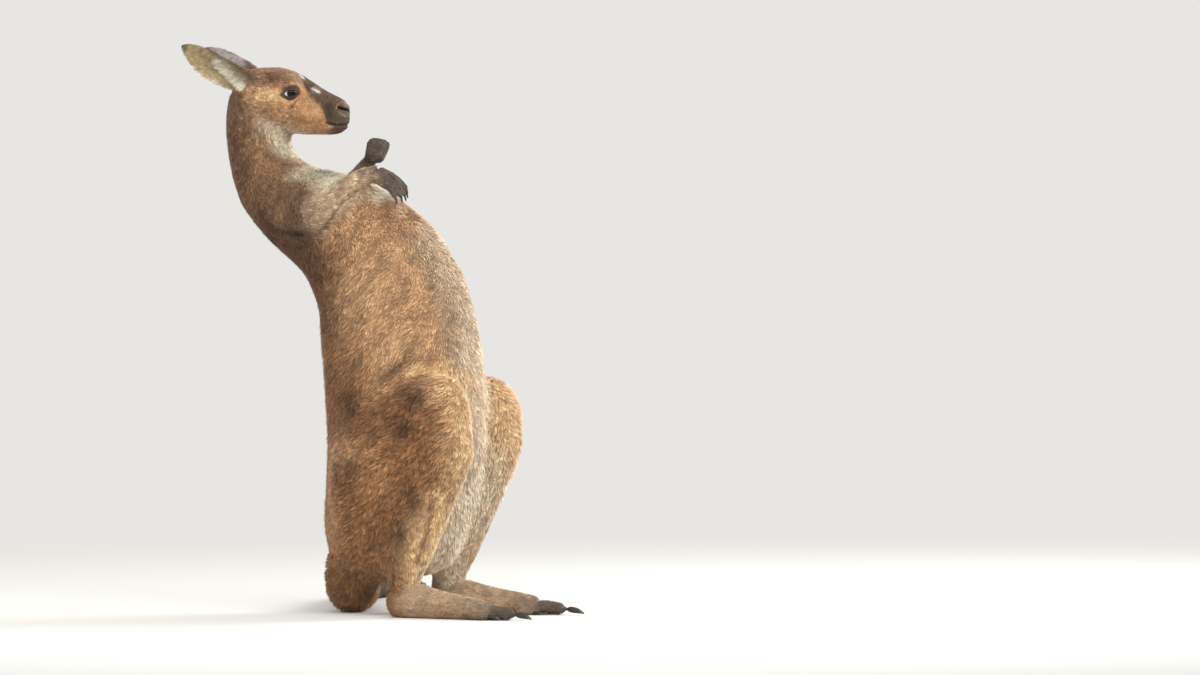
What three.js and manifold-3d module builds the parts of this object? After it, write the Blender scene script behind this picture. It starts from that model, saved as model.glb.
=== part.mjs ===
// A western grey kangaroo as a still, life-size model, standing on its hind feet and leaning
// back on its tail. Millimetres, +Z up; the trunk faces +X and the animal's left is +Y.
// Every form of flesh is a rounded body carried along a smooth curve, out to the coat's tips.
// Neighbours are parted by thin cuts, so the forms run on from piece to piece.
import * as THREE from 'three';
import { mergeVertices } from 'three/addons/utils/BufferGeometryUtils.js';
import Module from 'manifold-3d';

const wasm = await Module();
wasm.setup();
const { Manifold } = wasm;

// ---------------------------------------------------------------- driving dimensions

const GAP = 0.3;             // clearance kept between neighbouring pieces
const SOLE = 0;              // level of the floor that feet and tail rest on
const FAR = 2000;            // edge of the blocks that cut, larger than the animal

// Centre line of the trunk and neck in the middle plane: x, z, half depth, half width.
const SPINE = [
  [52, 50, 60, 66],
  [58, 110, 112, 108],
  [73.5, 192.5, 126.5, 115.5],
  [86, 287, 138.5, 111],
  [83.5, 366.5, 139.5, 109],
  [75, 440, 138, 106.5],
  [49, 542.5, 128, 101],
  [-28.5, 627, 100, 87],
  [-102, 664, 79, 73.5],
  [-154.5, 702, 65, 62],
  [-183, 760, 54, 52],
  [-189, 818, 52, 49.5],
  [-181, 884, 47, 45],
];
const NECK_FROM = 8.7;       // places on the spine, counted in stations, where it is parted
const CHEST_FROM = 6.35;
const BELLY_FROM = 2.7;

// Centre line of the tail: x, y, z, half height, half width.
const TAIL = [
  [41, 0, 137.5, 57, 57],
  [-4, 2, 90, 54, 54],
  [-25.5, 18.5, 46, 45, 46],
  [-53, 95.5, 37.5, 40.5, 40.5],
  [-106.5, 215.5, 32, 34, 34],
  [-163, 334.5, 26.5, 28.5, 28.5],
  [-196, 449, 21, 23.5, 23.5],
  [-196, 550, 16.5, 18.5, 18.5],
  [-174, 632.5, 11.5, 13.5, 13.5],
];
const TAIL_PARTS = [3.0, 5.0];   // where the tail is parted, counted in its stations

// The head in its own frame: x to the nose, z to the crown, zero at the eyes.
const HEAD_AT = [-123, 0, 860];
const HEAD_TURN = 25;        // degrees that the face turns to the animal's left
const HEAD_ROLL = 8;         // degrees that the crown leans to the animal's right
// x, z of the centre, half height, half width, from the nape to the nose
const SKULL = [
  [-102.5, 0, 24, 27.5],
  [-84.5, -2, 36.5, 36.5],
  [-60.5, -3.5, 43, 42],
  [-36.5, -7.5, 48.5, 45],
  [-13, -13, 53.5, 44.5],
  [9, -19.5, 52.5, 38.5],
  [29.5, -26, 47, 31.5],
  [49.5, -33, 40.5, 26],
  [68, -38.5, 36, 22.5],
  [84, -39.5, 29, 20],
  [98, -42.5, 20.5, 16.5],
];
const NOSE = { at: [85, 0, -31], reach: 12, high: 14, wide: 15.5 };
const EYE = { radius: 13.5, at: [-4, 29.5, 3] };
const BROW = { at: [-7, 17.5, 13], long: 30, high: 18.5, wide: 19.5 };

// Ears: a leaf bent into a cup. Its half width before it is bent, the thickness, the share of
// its thickness that it gains at the root and loses to the tip, and the radius of the bend at
// root and tip. Root and tip lie in the head's frame, with the side that the cup opens to.
const EAR = { half: 31, thick: 3, rootThick: 1.5, thinning: 0.9, curl: 23, uncurl: 44 };
const EAR_OUTLINE = { widest: 0.8, shoulder: 0.7, slim: 0.72, full: 0.28 };
const EAR_PLACES = {
  right: { root: [-69, -26, 18], tip: [-184.5, -57, 88.5], open: [-0.1, -1, -0.3] },
  left: { root: [-55, 25, 13], tip: [-152, 82.5, 60.5], open: [-0.25, 1, -0.4] },
};

// Limbs: x, y, z, half depth, half width along each centre line.
const UPPER_ARM = {
  right: [[-126.5, -42, 700.5, 44, 31], [-112, -66, 685.5, 46, 33], [-84.5, -91.5, 663.5, 36.5, 30],
    [-57, -107, 645.5, 27.5, 25.5], [-40.5, -110, 638, 18.5, 18.5]],
  left: [[-126.5, 42, 700.5, 44, 31], [-119, 66, 687.5, 46, 33], [-106.5, 91.5, 671, 36.5, 30],
    [-95.5, 110, 656.5, 27.5, 25.5], [-89, 117.5, 649, 18.5, 18.5]],
};
const FOREARM = {
  right: [[-57, -112, 639, 21, 20], [-40.5, -102.5, 656.5, 25.5, 24], [-16.5, -80.5, 684, 22, 21],
    [9, -57, 708.5, 18, 17.5], [33, -42, 724, 16.5, 17], [47.5, -33, 727, 14.5, 16.5]],
  left: [[-97, 113.5, 641.5, 21, 20], [-91, 106.5, 662, 25.5, 24], [-66, 90, 693, 22, 21],
    [-38, 73, 720, 16, 16], [-17, 58, 737, 13.5, 13.5], [1, 46, 747, 12.5, 12.5]],
};
// Hands: the wrist, the way the palm runs, the way its back faces, the angle through which
// the fingers bend, how far they spread and how far their tips lean to the side.
const HANDS = {
  right: {
    wrist: [47, -33, 727], aim: [0.87, 0.14, -0.48], back: [0.5, -0.4, 0.76],
    bend: 0.85, spread: 0.22, lean: 0,
  },
  left: {
    wrist: [4.5, 43, 750], aim: [-0.02, 0.66, 0.75], back: [0.2, -0.6, 0.5],
    bend: 2.8, spread: -0.05, lean: -7,
  },
};
// The palm's stations: how far ahead of the wrist, and shares of its thickness and width.
const PALM = { thick: 13.5, wide: 18.5 };
const PALM_STATIONS = [[-8, 0.95, 0.78], [6, 0.95, 0.9], [20, 1, 0.98], [34, 0.82, 1], [40, 0.55, 0.88]];
// Fingers leave the palm in an arch and bend along a round curve. Their claws
// start `rooted` of a finger's radius before its end and droop to the tip.
const FINGER = { count: 5, pitch: 7.6, long: 33, radius: 4.8, slim: 0.78 };
const FINGER_POSE = { from: 31, arch: 1.8 };
const FINGER_CLAW = { long: 11, radius: 2.6, tip: 0.7, droop: 0.35, rooted: 0.9 };

const THIGH = [
  [18.5, -57, 117.5, 49.5, 40.5],
  [49.5, -71.5, 157.5, 84.5, 51.5],
  [93.5, -84.5, 218, 123, 55],
  [143, -93.5, 273, 110, 51.5],
];
// The knee end of each thigh: the right one is drawn a little higher.
const KNEE = {
  right: [[186, -98, 319, 90, 47], [217, -99, 346, 69, 41], [248, -98, 356, 37, 28]],
  left: [[186, -98, 314.5, 85, 47], [217, -99, 337.5, 64, 41], [243, -98, 347, 34, 27.5]],
};
const SHANK = [
  [212.5, -97, 322.5, 38, 25],
  [196, -96, 266, 46, 31],
  [174, -93.5, 203.5, 43, 34.5],
  [150.5, -89, 137.5, 37.5, 31],
  [126.5, -85, 79, 31, 25.5],
  [115.5, -83.5, 40.5, 26.5, 23],
  [108, -82.5, 20, 16.5, 16.5],
];
const FOOT = [
  [86, 24, 18.5, 15.5],
  [106.5, 27.5, 28.5, 22],
  [137.5, 28.5, 31, 24],
  [183.5, 23, 25.5, 23],
  [229, 18.5, 21, 23],
  [267.5, 15.5, 17.5, 25],
  [286, 13, 14, 20],
];
const FOOT_ACROSS = 83.5;    // distance of each foot from the middle plane
const TOE_OUT = 4;           // degrees that the feet turn outwards
const HEEL_X = 91.5;         // the point that a foot turns about
const TOE_SUNK = 1;          // the pads of the toes reach this far below the floor's level
// Toes: offset outwards, start and end along the foot, and the radius at both ends.
const TOES = [
  { name: 'fourth', out: -1, from: 267.5, to: 335.5, root: 14, end: 10, claw: 30, horn: 6.5 },
  { name: 'fifth', out: 17.5, from: 249.5, to: 295, root: 10.5, end: 7.5, claw: 18.5, horn: 4 },
  { name: 'third', out: -17.5, from: 249.5, to: 291.5, root: 6.5, end: 4.5, claw: 13, horn: 2.5 },
  { name: 'second', out: -25, from: 245.5, to: 286, root: 6.5, end: 4.5, claw: 13, horn: 2.5 },
];

// ---------------------------------------------------------------- shapes

const vector = (place) => new THREE.Vector3(...place);
const radians = THREE.MathUtils.degToRad;

/** A closed geometry as a solid. */
function solidOf(geometry) {
  const bare = geometry.clone();
  bare.deleteAttribute('normal');
  bare.deleteAttribute('uv');
  const merged = mergeVertices(bare, 1e-4);
  return new Manifold(new wasm.Mesh({
    numProp: 3,
    vertProperties: new Float32Array(merged.attributes.position.array),
    triVerts: new Uint32Array(merged.index.array),
  }));
}

/** A solid as a geometry with flat faces. */
function geometryOf(solid) {
  const { vertProperties, triVerts } = solid.getMesh();
  const geometry = new THREE.BufferGeometry();
  geometry.setAttribute('position', new THREE.BufferAttribute(vertProperties, 3));
  geometry.setIndex(new THREE.BufferAttribute(triVerts, 1));
  return geometry;
}

/** Moves every vertex of a geometry by a function of its place. */
function reshape(geometry, move) {
  const places = geometry.attributes.position;
  const place = new THREE.Vector3();
  for (let i = 0; i < places.count; i += 1) {
    place.fromBufferAttribute(places, i);
    move(place);
    places.setXYZ(i, place.x, place.y, place.z);
  }
  return geometry;
}

/** Curves through the stations' centres and through their two half sizes. */
function centreLine(stations) {
  const centres = stations.map(([x, y, z]) => new THREE.Vector3(x, y, z));
  const sizes = stations.map(([, , , deep, wide]) => new THREE.Vector3(deep, wide, 0));
  return {
    centre: new THREE.CatmullRomCurve3(centres, false, 'centripetal'),
    size: new THREE.CatmullRomCurve3(sizes, false, 'catmullrom', 0.5),
  };
}

/**
 * A rounded body along a curve. Each station is x, y, z, half depth and half width; the
 * width lies along `side`. A sphere is drawn over the stations: its poles become the two
 * ends and its rings the sections. `along` holds every section square to one direction
 * instead of to the curve. `grow` makes the body fatter, for cutting its neighbours.
 */
function rounded(stations, options = {}) {
  const { side = [0, 1, 0], along = null, around = 14, rings = 14, ends = 0.08, grow = 0 } = options;
  const { centre, size } = centreLine(stations);
  const across = vector(side);
  return reshape(new THREE.SphereGeometry(1, around, rings), (place) => {
    const t = 1 - Math.acos(THREE.MathUtils.clamp(place.y, -1, 1)) / Math.PI;
    const nearEnd = Math.min(1, Math.min(t, 1 - t) / ends);
    const round = Math.sqrt(Math.max(0, 1 - (1 - nearEnd) ** 2));
    const girth = Math.hypot(place.x, place.z) || 1;
    const forward = along ? vector(along) : centre.getTangent(t);
    const wide = across.clone().addScaledVector(forward, -across.dot(forward)).normalize();
    const deep = forward.clone().cross(wide);
    const sizes = size.getPoint(t);
    const deepBy = (place.x / girth) * (sizes.x + grow) * round;
    const wideBy = (place.z / girth) * (sizes.y + grow) * round;
    const past = grow * (1 - round) * Math.sign(t - 0.5);
    place.copy(centre.getPoint(t));
    place.addScaledVector(deep, deepBy).addScaledVector(wide, wideBy).addScaledVector(forward, past);
  });
}

/** An ellipsoid with its half sizes along x, y and z. */
function ellipsoid(at, [long, wide, high], around = 14, rings = 10) {
  return new THREE.SphereGeometry(1, around, rings).scale(long, high, wide)
    .rotateX(Math.PI / 2).translate(...at);
}

/** The half of space that lies behind a plane, seen along its direction. */
function behind(point, direction) {
  const block = new THREE.BoxGeometry(FAR, FAR, FAR).translate(0, 0, -FAR / 2);
  const turn = new THREE.Quaternion().setFromUnitVectors(new THREE.Vector3(0, 0, 1), direction);
  return solidOf(block.applyQuaternion(turn).translate(point.x, point.y, point.z));
}

const join = (solids) => solids.reduce((whole, piece) => whole.add(piece));
const without = (solid, ...cutters) => cutters.reduce((left, cutter) => left.subtract(cutter), solid);

/** The largest of the bodies that a cut leaves. */
function largest(solid) {
  const bodies = solid.decompose();
  return bodies.reduce((best, body) => (body.volume() > best.volume() ? body : best));
}

/** Parts a body across its centre line at places counted in stations, with thin gaps. */
function partAcross(solid, stations, places) {
  const { centre } = centreLine(stations);
  const lengths = [];
  let rest = solid;
  places.forEach((place) => {
    const t = place / (stations.length - 1);
    const direction = centre.getTangent(t);
    const point = centre.getPoint(t);
    const before = behind(point.clone().addScaledVector(direction, -GAP / 2), direction);
    const upTo = behind(point.clone().addScaledVector(direction, GAP / 2), direction);
    lengths.push(largest(rest.intersect(before)));
    rest = largest(rest.subtract(upTo));
  });
  return [...lengths, rest];
}

const UPWARDS = new THREE.Vector3(0, 0, 1);
const onFloor = (solid) => solid.subtract(behind(new THREE.Vector3(0, 0, SOLE), UPWARDS));

/** Stations of a limb on the animal's right, mirrored for its left. */
const mirrored = (stations, sign) => stations.map(([x, y, ...rest]) => [x, -sign * y, ...rest]);

// ---------------------------------------------------------------- trunk, neck and tail

const spineStations = SPINE.map(([x, z, deep, wide]) => [x, 0, z, deep, wide]);

const torso = (grow = 0) => solidOf(rounded(spineStations, { around: 20, rings: 25, ends: 0.05, grow }));

const tail = (grow = 0) => solidOf(
  rounded(TAIL, { side: [0, 0, 1], around: 12, rings: 18, ends: 0.05, grow }),
);

// ---------------------------------------------------------------- head

/** The head's own frame in the animal's. */
function headFrame() {
  const turn = new THREE.Euler(radians(HEAD_ROLL), 0, radians(HEAD_TURN), 'ZYX');
  return new THREE.Matrix4().makeRotationFromEuler(turn).setPosition(...HEAD_AT);
}

const HEAD_FRAME = headFrame();
const inHead = (geometry) => solidOf(geometry.applyMatrix4(HEAD_FRAME));
const mirrorY = ([x, y, z], sign) => [x, sign * y, z];

const noseForm = (grow = 0) => inHead(
  ellipsoid(NOSE.at, [NOSE.reach + grow, NOSE.wide + grow, NOSE.high + grow], 12, 6),
);

const eyeForm = (sign, grow = 0) => inHead(
  ellipsoid(mirrorY(EYE.at, sign), Array(3).fill(EYE.radius + grow), 10, 7),
);

/** Skull and muzzle in one, with a brow over each eye. */
function headForm(grow = 0) {
  const stations = SKULL.map(([x, z, high, wide]) => [x, 0, z, high, wide]);
  const skull = rounded(stations, { along: [1, 0, 0], around: 16, rings: 15, ends: 0.07, grow });
  const forms = [inHead(skull)];
  const brow = [BROW.long + grow, BROW.wide + grow, BROW.high + grow];
  [-1, 1].forEach((sign) => forms.push(inHead(ellipsoid(mirrorY(BROW.at, sign), brow, 10, 6))));
  return join(forms);
}

/**
 * An ear: a flat leaf, widest below its middle, bent across into a cup. The bend is tight
 * at the root and opens to the tip.
 */
function earForm({ root, tip, open }) {
  const start = vector(root);
  const along = vector(tip).sub(start);
  const length = along.length();
  along.normalize();
  const facing = vector(open);
  facing.addScaledVector(along, -facing.dot(along)).normalize();
  const across = facing.clone().cross(along);
  const leaf = reshape(new THREE.SphereGeometry(1, 14, 9), (place) => {
    const t = 1 - Math.acos(THREE.MathUtils.clamp(place.y, -1, 1)) / Math.PI;
    const girth = Math.hypot(place.x, place.z) || 1;
    const leafy = Math.sqrt(Math.sin(Math.PI * t ** EAR_OUTLINE.widest));
    const full = EAR_OUTLINE.slim + EAR_OUTLINE.full * Math.sin(Math.PI * t ** EAR_OUTLINE.shoulder);
    const half = EAR.half * leafy * full;
    const thick = EAR.thick * Math.sqrt(Math.sin(Math.PI * t)) * (EAR.rootThick - EAR.thinning * t);
    const bend = THREE.MathUtils.lerp(EAR.curl, EAR.uncurl, t ** 1.5);
    const angle = ((place.x / girth) * half) / bend;
    const reach = bend + (place.z / girth) * thick;
    place.copy(start).addScaledVector(along, t * length);
    place.addScaledVector(across, reach * Math.sin(angle));
    place.addScaledVector(facing, bend - reach * Math.cos(angle));
  });
  return inHead(leaf);
}

// ---------------------------------------------------------------- limbs

/** A tapering toe, finger or claw along a few points, from one radius to another. */
function taper(points, from, to, options) {
  const last = points.length - 1;
  const stations = points.map((point, i) => {
    const radius = THREE.MathUtils.lerp(from, to, i / last);
    return [point.x, point.y, point.z, radius, radius];
  });
  return solidOf(rounded(stations, { ends: 0.2, ...options }));
}

/** One hand: the palm with its five fingers, and a claw on each. */
function handForms({ wrist, aim, back, bend, spread, lean }) {
  const origin = vector(wrist);
  const forward = vector(aim).normalize();
  const up = vector(back);
  up.addScaledVector(forward, -up.dot(forward)).normalize();
  const across = forward.clone().cross(up);
  const at = (ahead, out, above) => origin.clone().addScaledVector(forward, ahead)
    .addScaledVector(across, out).addScaledVector(up, above);
  const palmStations = PALM_STATIONS.map(([ahead, thick, wide]) => (
    [...at(ahead, 0, 0).toArray(), PALM.thick * thick, PALM.wide * wide]
  ));
  const palm = solidOf(rounded(palmStations, { side: across.toArray(), around: 10, rings: 6, ends: 0.15 }));
  const fingers = [];
  const claws = [];
  for (let i = 0; i < FINGER.count; i += 1) {
    const place = i - (FINGER.count - 1) / 2;
    const out = place * FINGER.pitch;
    const knuckle = FINGER_POSE.from - FINGER_POSE.arch * place * place;
    const arc = FINGER.long / bend;
    const bent = (share) => at(
      knuckle + arc * Math.sin(bend * share),
      out * (1 + spread * share) + lean * share,
      -arc * (1 - Math.cos(bend * share)),
    );
    const joints = [0, 0.35, 0.7, 1].map(bent);
    const finger = (grow) => taper(
      joints, FINGER.radius, FINGER.radius * FINGER.slim, { around: 6, rings: 4, grow },
    );
    fingers.push(finger(0));
    const tip = bent(1);
    const aimOut = tip.clone().sub(bent(0.8)).normalize();
    const down = up.clone().multiplyScalar(-FINGER_CLAW.droop * FINGER_CLAW.long);
    const horn = [0, 0.5, 1].map((share) => tip.clone()
      .addScaledVector(aimOut, FINGER_CLAW.long * share - FINGER.radius * FINGER_CLAW.rooted)
      .addScaledVector(down, share * share));
    const claw = taper(horn, FINGER_CLAW.radius, FINGER_CLAW.tip, { around: 4, rings: 3 });
    claws.push(without(claw, finger(GAP)));
  }
  return { flesh: join([palm, ...fingers]), claws };
}

/** One foot: heel, sole and four toes, with a claw on each. */
function footForms(sign, grow = 0) {
  const about = new THREE.Vector3(HEEL_X, sign * FOOT_ACROSS, 0);
  const turned = (geometry) => solidOf(geometry.translate(-HEEL_X, 0, 0)
    .rotateZ(sign * radians(TOE_OUT)).translate(about.x, about.y, 0));
  const stations = FOOT.map(([x, z, high, wide]) => [x, 0, z, high, wide]);
  const forms = [turned(rounded(stations, { along: [1, 0, 0], around: 11, rings: 8, ends: 0.08, grow }))];
  const claws = {};
  TOES.forEach(({ name, out, from, to, root, end, claw, horn }) => {
    const y = sign * out;
    const middle = (root + end) / 2;
    const toe = [
      [from, y, root - TOE_SUNK, root, root],
      [(from + to) / 2, y, middle, middle, middle],
      [to, y, end - TOE_SUNK, end, end],
    ];
    forms.push(turned(rounded(toe, { around: 6, rings: 4, ends: 0.16, grow })));
    const nail = [
      [to - 3, y, end * 0.9, horn, horn * 0.8],
      [to + claw * 0.45, y, end * 0.8, horn * 0.75, horn * 0.6],
      [to + claw, y, 1.5, 0.9, 0.9],
    ];
    claws[name] = turned(rounded(nail, { around: 6, rings: 4, ends: 0.15 }));
  });
  return { flesh: join(forms), claws };
}

// ---------------------------------------------------------------- the animal

const COLOURS = {
  coat: 0x8a6546, pale: 0xc9ae90, face: 0x8f6a4c, ear: 0xa4917b, tail: 0x6d5140,
  hand: 0x40352f, claw: 0x221d1b, eye: 0x160e0a, nose: 0x2a2423,
};

const animal = new THREE.Group();

function add(name, solid, colour, { roughness = 0.95, metalness = 0 } = {}) {
  const material = new THREE.MeshStandardMaterial({ color: colour, roughness, metalness });
  const mesh = new THREE.Mesh(geometryOf(solid), material);
  mesh.name = name;
  animal.add(mesh);
}

function addTrunk() {
  const places = [BELLY_FROM, CHEST_FROM, NECK_FROM];
  const [rump, belly, chest, neck] = partAcross(torso(), spineStations, places);
  add('rump', onFloor(rump), COLOURS.coat);
  add('belly', belly, COLOURS.pale);
  add('chest', chest, COLOURS.pale);
  add('neck', largest(neck.subtract(headForm(GAP))), COLOURS.coat);
  const lengths = partAcross(onFloor(tail()), TAIL, TAIL_PARTS);
  add('tail_base', largest(lengths[0].subtract(torso(GAP))), COLOURS.coat);
  add('tail_middle', lengths[1], COLOURS.coat);
  add('tail_tip', lengths[2], COLOURS.tail);
}

function addHead() {
  const ears = { right: earForm(EAR_PLACES.right), left: earForm(EAR_PLACES.left) };
  const whole = without(headForm(), noseForm(GAP), eyeForm(-1, GAP), eyeForm(1, GAP));
  add('head', largest(whole), COLOURS.face);
  add('nose', noseForm(), COLOURS.nose, { roughness: 0.5 });
  add('eye_right', eyeForm(-1), COLOURS.eye, { roughness: 0.1 });
  add('eye_left', eyeForm(1), COLOURS.eye, { roughness: 0.1 });
  Object.entries(ears).forEach(([side, ear]) => {
    add(`ear_${side}`, largest(without(ear, headForm(GAP), torso(GAP))), COLOURS.ear);
  });
}

function addArm(side) {
  const upper = (grow) => solidOf(rounded(UPPER_ARM[side], { around: 10, rings: 8, ends: 0.14, grow }));
  const fore = (grow) => solidOf(rounded(FOREARM[side], { around: 10, rings: 10, ends: 0.1, grow }));
  const { flesh, claws } = handForms(HANDS[side]);
  add(`upper_arm_${side}`, largest(without(upper(0), torso(GAP))), COLOURS.coat);
  add(`forearm_${side}`, largest(without(fore(0), torso(GAP), upper(GAP))), COLOURS.coat);
  add(`hand_${side}`, largest(without(flesh, fore(GAP), torso(GAP))), COLOURS.hand);
  claws.forEach((claw, i) => {
    const proud = largest(without(claw, torso(GAP)));
    add(`claw_hand_${side}_${i + 1}`, proud, COLOURS.claw, { roughness: 0.4 });
  });
}

function addLeg(side, sign) {
  const limb = (stations, options) => solidOf(rounded(mirrored(stations, sign), options));
  const thigh = (grow) => limb([...THIGH, ...KNEE[side]], { around: 14, rings: 10, ends: 0.1, grow });
  const shank = (grow) => limb(SHANK, { around: 12, rings: 10, ends: 0.08, grow });
  const { flesh, claws } = footForms(sign);
  add(`thigh_${side}`, largest(onFloor(without(thigh(0), torso(GAP), tail(GAP)))), COLOURS.coat);
  add(`shank_${side}`, largest(onFloor(without(shank(0), thigh(GAP), torso(GAP)))), COLOURS.coat);
  add(`foot_${side}`, largest(onFloor(without(flesh, shank(GAP), thigh(GAP)))), COLOURS.tail);
  const grown = footForms(sign, GAP).flesh;
  Object.entries(claws).forEach(([name, claw]) => {
    const horn = largest(onFloor(claw.subtract(grown)));
    add(`claw_foot_${side}_${name}`, horn, COLOURS.claw, { roughness: 0.4 });
  });
}

addTrunk();
addHead();
['right', 'left'].forEach(addArm);
addLeg('right', -1);
addLeg('left', 1);

// The model's zero is the middle of its footprint, on the floor.
const extent = new THREE.Box3().setFromObject(animal);
const middle = extent.getCenter(new THREE.Vector3());
animal.position.set(-middle.x, -middle.y, -SOLE);
animal.updateMatrixWorld(true);

const group = new THREE.Group();
group.add(animal);

export default group;
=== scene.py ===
"""The looks of a western grey kangaroo, built around its fixed frame.

One skin covers every node of flesh and lies inside it by the depth of the coat. Tufts of
fur grow from that skin along the lie of the coat, in pieces by region. Eyes, claws,
whiskers and lashes are pieces of their own. Lengths are metres unless a name says
otherwise; tables for the animal's small forms are in millimetres.
"""

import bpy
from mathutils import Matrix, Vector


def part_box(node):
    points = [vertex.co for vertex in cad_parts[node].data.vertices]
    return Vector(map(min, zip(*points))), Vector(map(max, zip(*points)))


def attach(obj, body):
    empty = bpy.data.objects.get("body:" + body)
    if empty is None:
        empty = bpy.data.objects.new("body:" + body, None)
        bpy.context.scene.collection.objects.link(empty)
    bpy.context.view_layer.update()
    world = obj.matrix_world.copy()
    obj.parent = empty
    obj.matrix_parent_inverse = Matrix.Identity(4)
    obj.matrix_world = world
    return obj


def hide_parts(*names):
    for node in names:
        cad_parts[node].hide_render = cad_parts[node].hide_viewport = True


bl_info = {
    "name": "Western grey kangaroo",
    "version": (1, 0, 0),
    "blender": (4, 5, 0),
    "location": "View3D > Sidebar > Kangaroo",
    "description": "Skin, coat, eyes, claws and whiskers of a standing kangaroo, with its stage",
    "category": "Object",
}

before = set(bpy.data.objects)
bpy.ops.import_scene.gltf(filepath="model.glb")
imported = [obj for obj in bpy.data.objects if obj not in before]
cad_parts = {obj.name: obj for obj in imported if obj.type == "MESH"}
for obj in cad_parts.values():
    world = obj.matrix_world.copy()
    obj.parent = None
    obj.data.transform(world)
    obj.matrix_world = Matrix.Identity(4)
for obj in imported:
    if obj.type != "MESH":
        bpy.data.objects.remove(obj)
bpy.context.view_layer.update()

import functools
from collections import namedtuple

import bpy
import numpy as np
from mathutils import Matrix

MM = 0.001
SIDES = ("right", "left")
UP = np.array([0.0, 0.0, 1.0])


# ---- places in the frame


def centre(node):
    """Middle of a node's box."""
    low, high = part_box(node)
    return (np.array(low) + np.array(high)) / 2


def place_in(node, share):
    """The point at a share of a node's box along x, y and z."""
    low, high = (np.array(corner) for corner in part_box(node))
    return low + (high - low) * np.array(share)


def unit(vectors):
    """Vectors scaled to length one."""
    return vectors / np.maximum(np.linalg.norm(vectors, axis=-1, keepdims=True), 1e-9)


# The head's own axes: x runs along the skull towards the nose, whose middle hangs NOSE_DROP
# lower than the eyes for each unit ahead, y to the animal's left and z to the crown. The
# eyes sit a little behind and above the head's zero.
NOSE_DROP = 34 / 89
EYES_BEHIND, EYES_ABOVE = 4 * MM, 3 * MM
EYES = {side: centre(f"eye_{side}") for side in SIDES}
HEAD_Y = unit(EYES["left"] - EYES["right"])
TO_NOSE = centre("nose") - (EYES["right"] + EYES["left"]) / 2
TO_NOSE = unit(TO_NOSE - HEAD_Y * (TO_NOSE @ HEAD_Y))
HEAD_X = unit(TO_NOSE + NOSE_DROP * np.cross(TO_NOSE, HEAD_Y))
HEAD_Z = np.cross(HEAD_X, HEAD_Y)
HEAD_ZERO = (EYES["right"] + EYES["left"]) / 2 + HEAD_X * EYES_BEHIND - HEAD_Z * EYES_ABOVE
HEAD_LEAN = 0.14         # what is out to the side of the head's middle looks this much lower
EYE_RADIUS = (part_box("eye_right")[1][2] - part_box("eye_right")[0][2]) / 2


def to_head(points):
    """Points in the head's own axes, in millimetres from between the eyes."""
    return (points - HEAD_ZERO) @ np.stack([HEAD_X, HEAD_Y, HEAD_Z], axis=1) / MM


def side_view(places):
    """The head's places as seen from its side: how far ahead, and how high with the head's lean."""
    return np.stack([places[:, 0], places[:, 2] - HEAD_LEAN * np.abs(places[:, 1])], axis=1)


def from_head(places):
    """Places given in the head's own axes in millimetres, as points of the frame."""
    return HEAD_ZERO + np.asarray(places) * MM @ np.stack([HEAD_X, HEAD_Y, HEAD_Z])


# ---- the coat, region by region

# Smoothing rounds, depth of the coat, length and width of a tuft in millimetres, how thick
# the tufts stand compared with the trunk, how much they draw together into locks, how much
# pale and dark hairs are mixed, how far the lie sweeps to the rear, and the nodes that the
# coat runs from and to.
Coat = namedtuple("Coat", "rounds depth length width crowd lock grizzle sweep start end")

COAT = {
    "head": Coat(3, 1.8, 4.6, 0.8, 2.8, 0.10, 0.28, 0.0, "nose", "head"),
    "nose": Coat(2, 0.3, 2.2, 0.7, 1.5, 0.0, 0.14, 0.0, "nose", "head"),
    "neck": Coat(12, 5.0, 7.2, 1.05, 1.6, 0.14, 0.24, 0.0, "head", "chest"),
    "chest": Coat(24, 6.0, 8.2, 1.15, 1.25, 0.16, 0.20, 0.45, "neck", "belly"),
    "belly": Coat(36, 6.5, 9.4, 1.2, 1.15, 0.30, 0.16, 0.75, "chest", "rump"),
    "rump": Coat(24, 7.5, 10.5, 1.3, 1.1, 0.36, 0.17, 0.5, "belly", "tail_base"),
    "tail_base": Coat(12, 6.0, 12.0, 1.4, 0.9, 0.35, 0.16, 0.0, "rump", "tail_middle"),
    "tail_middle": Coat(5, 4.0, 12.0, 1.4, 1.0, 0.30, 0.24, 0.0, "tail_base", "tail_tip"),
    "tail_tip": Coat(4, 3.0, 11.0, 1.3, 1.2, 0.28, 0.20, 0.0, "tail_middle", "tail_tip"),
}
# The same for the limbs, where {} stands for the side.
LIMBS = {
    "upper_arm": Coat(22, 5.0, 7.8, 1.1, 1.4, 0.16, 0.28, 0.0, "chest", "forearm_{}"),
    "forearm": Coat(5, 3.2, 7.0, 1.0, 1.6, 0.20, 0.22, 0.0, "upper_arm_{}", "hand_{}"),
    "hand": Coat(1, 0.8, 3.6, 0.8, 2.8, 0.12, 0.30, 0.0, "forearm_{}", "claw_hand_{}_3"),
    "thigh": Coat(26, 7.5, 9.8, 1.25, 1.15, 0.36, 0.17, 1.0, "belly", "foot_{}"),
    "shank": Coat(8, 4.0, 9.0, 1.15, 1.3, 0.28, 0.17, 0.25, "thigh_{}", "foot_{}"),
    "foot": Coat(4, 1.2, 6.0, 0.95, 2.0, 0.18, 0.28, 0.0, "foot_{}", "claw_foot_{}_fourth"),
}
CLAWS = {}
for _side in SIDES:
    for _limb, _coat in LIMBS.items():
        _ends = {"start": _coat.start.format(_side), "end": _coat.end.format(_side)}
        COAT[f"{_limb}_{_side}"] = _coat._replace(**_ends)
    CLAWS[f"hand_{_side}"] = [f"claw_hand_{_side}_{finger}" for finger in range(1, 6)]
    CLAWS[f"foot_{_side}"] = [
        f"claw_foot_{_side}_{toe}" for toe in ("fourth", "fifth", "third", "second")
    ]
FLESH = list(COAT)

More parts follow.
